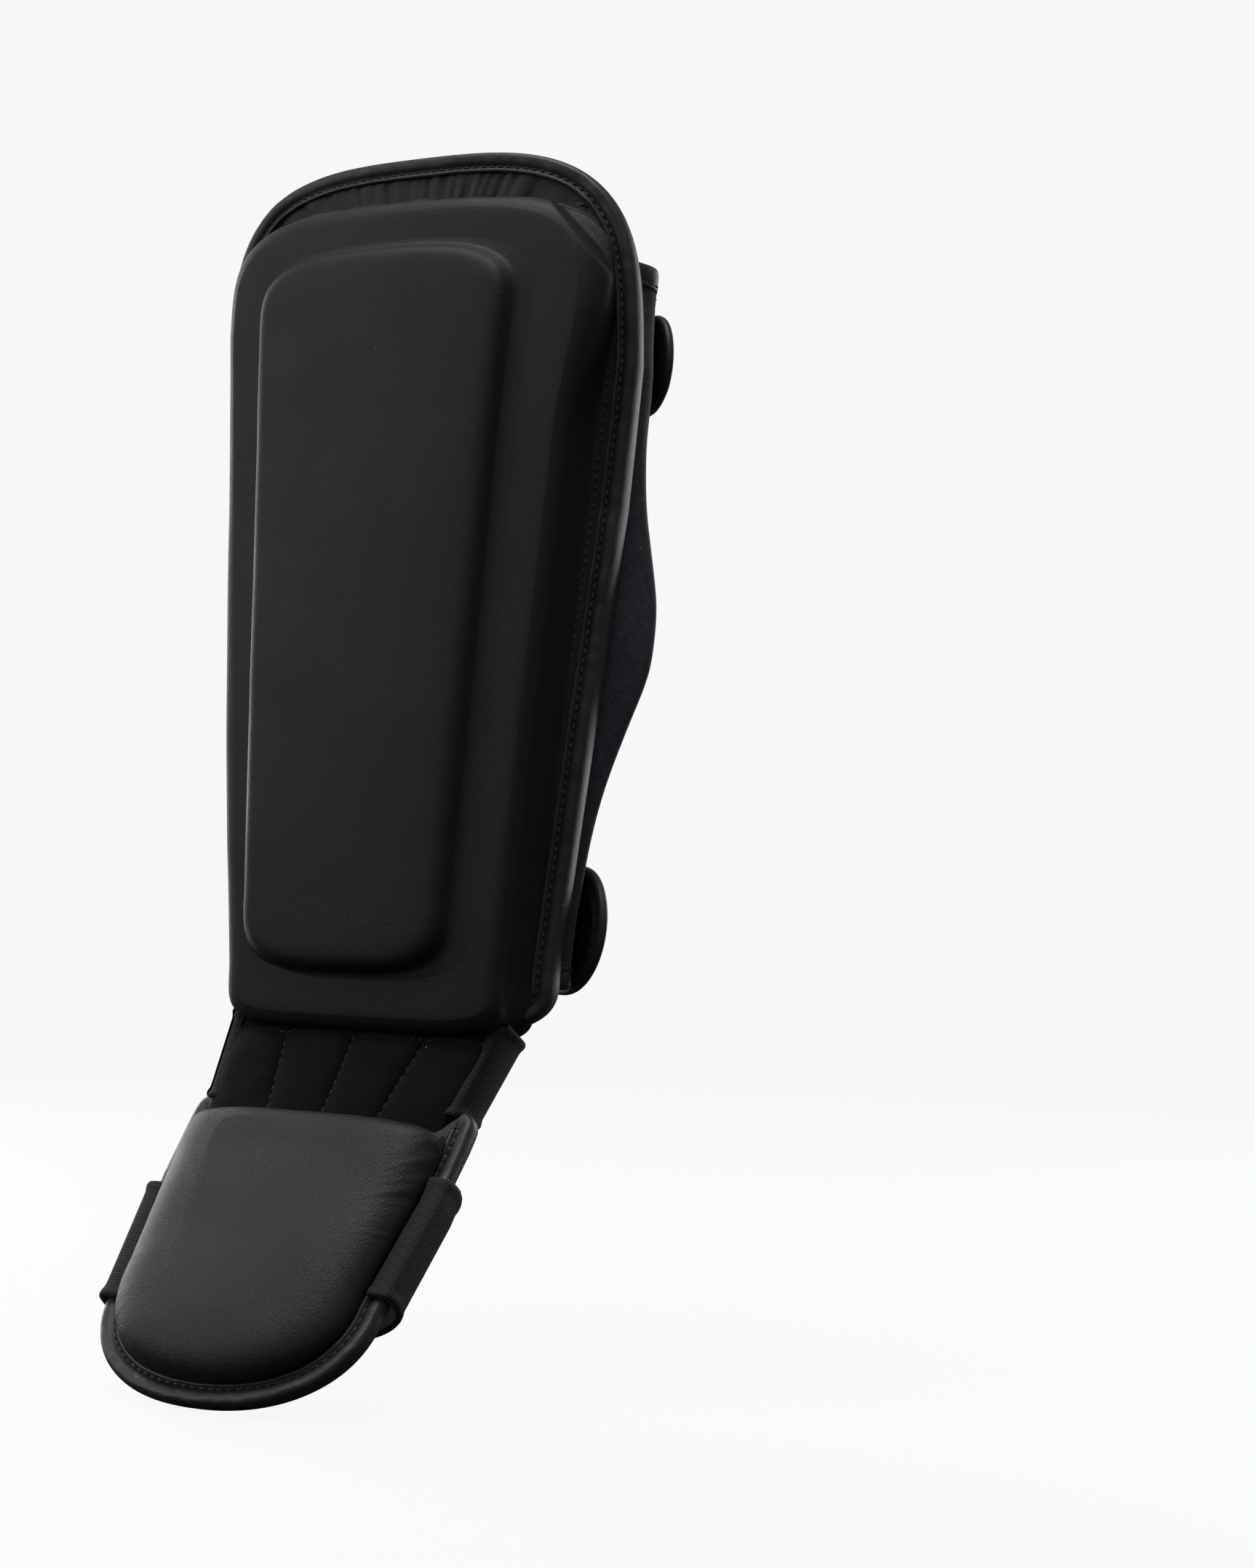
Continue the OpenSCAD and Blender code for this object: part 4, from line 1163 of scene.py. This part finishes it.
def stage():
    """A plain floor just under the guard, which glows for the camera alone."""
    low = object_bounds()[0]
    mesh = bpy.data.meshes.new("floor")
    corners = [(x * FLOOR_HALF, y * FLOOR_HALF, low[2] - MM) for x, y in ((-1, -1), (1, -1), (1, 1), (-1, 1))]
    mesh.from_pydata(corners, [], [(0, 1, 2, 3)])
    floor = bpy.data.objects.new("floor", mesh)
    bpy.context.scene.collection.objects.link(floor)
    pale = bpy.data.materials.new("pale_floor")
    pale.use_nodes = True
    shader = pale.node_tree.nodes["Principled BSDF"]
    shader.inputs["Base Color"].default_value = (0.02, 0.02, 0.0202, 1)
    shader.inputs["Emission Color"].default_value = (1, 1, 1, 1)
    tree = pale.node_tree
    seen, glow = tree.nodes.new("ShaderNodeLightPath"), tree.nodes.new("ShaderNodeMath")
    glow.operation = "MULTIPLY"
    glow.inputs[1].default_value = FLOOR_GLOW
    tree.links.new(seen.outputs["Is Camera Ray"], glow.inputs[0])
    tree.links.new(glow.outputs[0], shader.inputs["Emission Strength"])
    shader.inputs["Roughness"].default_value = 0.9
    mesh.materials.append(pale)
    floor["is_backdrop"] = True


def area_light(name, place, towards, size, power):
    """A soft oblong light at place, facing towards."""
    lamp = bpy.data.lights.new(name, "AREA")
    lamp.shape = "RECTANGLE"
    lamp.size, lamp.size_y = size
    lamp.energy = power
    obj = bpy.data.objects.new(name, lamp)
    bpy.context.scene.collection.objects.link(obj)
    obj.location = place
    obj.rotation_mode = "QUATERNION"
    obj.rotation_quaternion = (Vector(towards) - Vector(place)).to_track_quat("-Z", "Y")


def camera():
    """The camera, at its fitted place."""
    data = bpy.data.cameras.new("camera")
    data.lens, data.sensor_width, data.sensor_fit = 53.115, 36.0, "AUTO"
    obj = bpy.data.objects.new("camera", data)
    bpy.context.scene.collection.objects.link(obj)
    right, up, forward = ((0.90849, 0.41576, 0.04225), (-0.00717, -0.08558, 0.99630),
                          (-0.41784, 0.90544, 0.07477))
    m = Matrix.Identity(4)
    for i in range(3):
        m[i][0], m[i][1], m[i][2] = right[i], up[i], -forward[i]
        m[i][3] = (0.4570, -0.7740, -0.1396)[i]
    obj.matrix_world = m
    bpy.context.scene.camera = obj


stage()
area_light("left_key", (-1.5, -1.3, 0.7), (0, 0, -0.05), (1.0, 1.6), 9.5)
area_light("left_strip", (-1.5, 0.5, 0.1), (0, 0, 0), (0.5, 1.8), 18)
area_light("right_strip", (0.8, 1.8, 0.2), (0, 0, 0), (0.5, 1.8), 13)
area_light("top_box", (0.0, -0.5, 1.6), (0, -0.05, -0.1), (1.2, 1.0), 17)
camera()


def studio_world():
    """Even grey fill light; the background that the camera sees is near white."""
    world = bpy.data.worlds.new("studio")
    world.use_nodes = True
    tree = world.node_tree
    fill = tree.nodes["Background"]
    fill.inputs[0].default_value = (1, 1, 1, 1)
    fill.inputs[1].default_value = FILL
    pale = tree.nodes.new("ShaderNodeBackground")
    pale.inputs[0].default_value = (BACKDROP, BACKDROP, BACKDROP, 1)
    path, mix = tree.nodes.new("ShaderNodeLightPath"), tree.nodes.new("ShaderNodeMixShader")
    tree.links.new(path.outputs["Is Camera Ray"], mix.inputs[0])
    tree.links.new(fill.outputs[0], mix.inputs[1])
    tree.links.new(pale.outputs[0], mix.inputs[2])
    tree.links.new(mix.outputs[0], tree.nodes["World Output"].inputs[0])
    bpy.context.scene.world = world
    bpy.context.scene.view_settings.view_transform = "Standard"


studio_world()
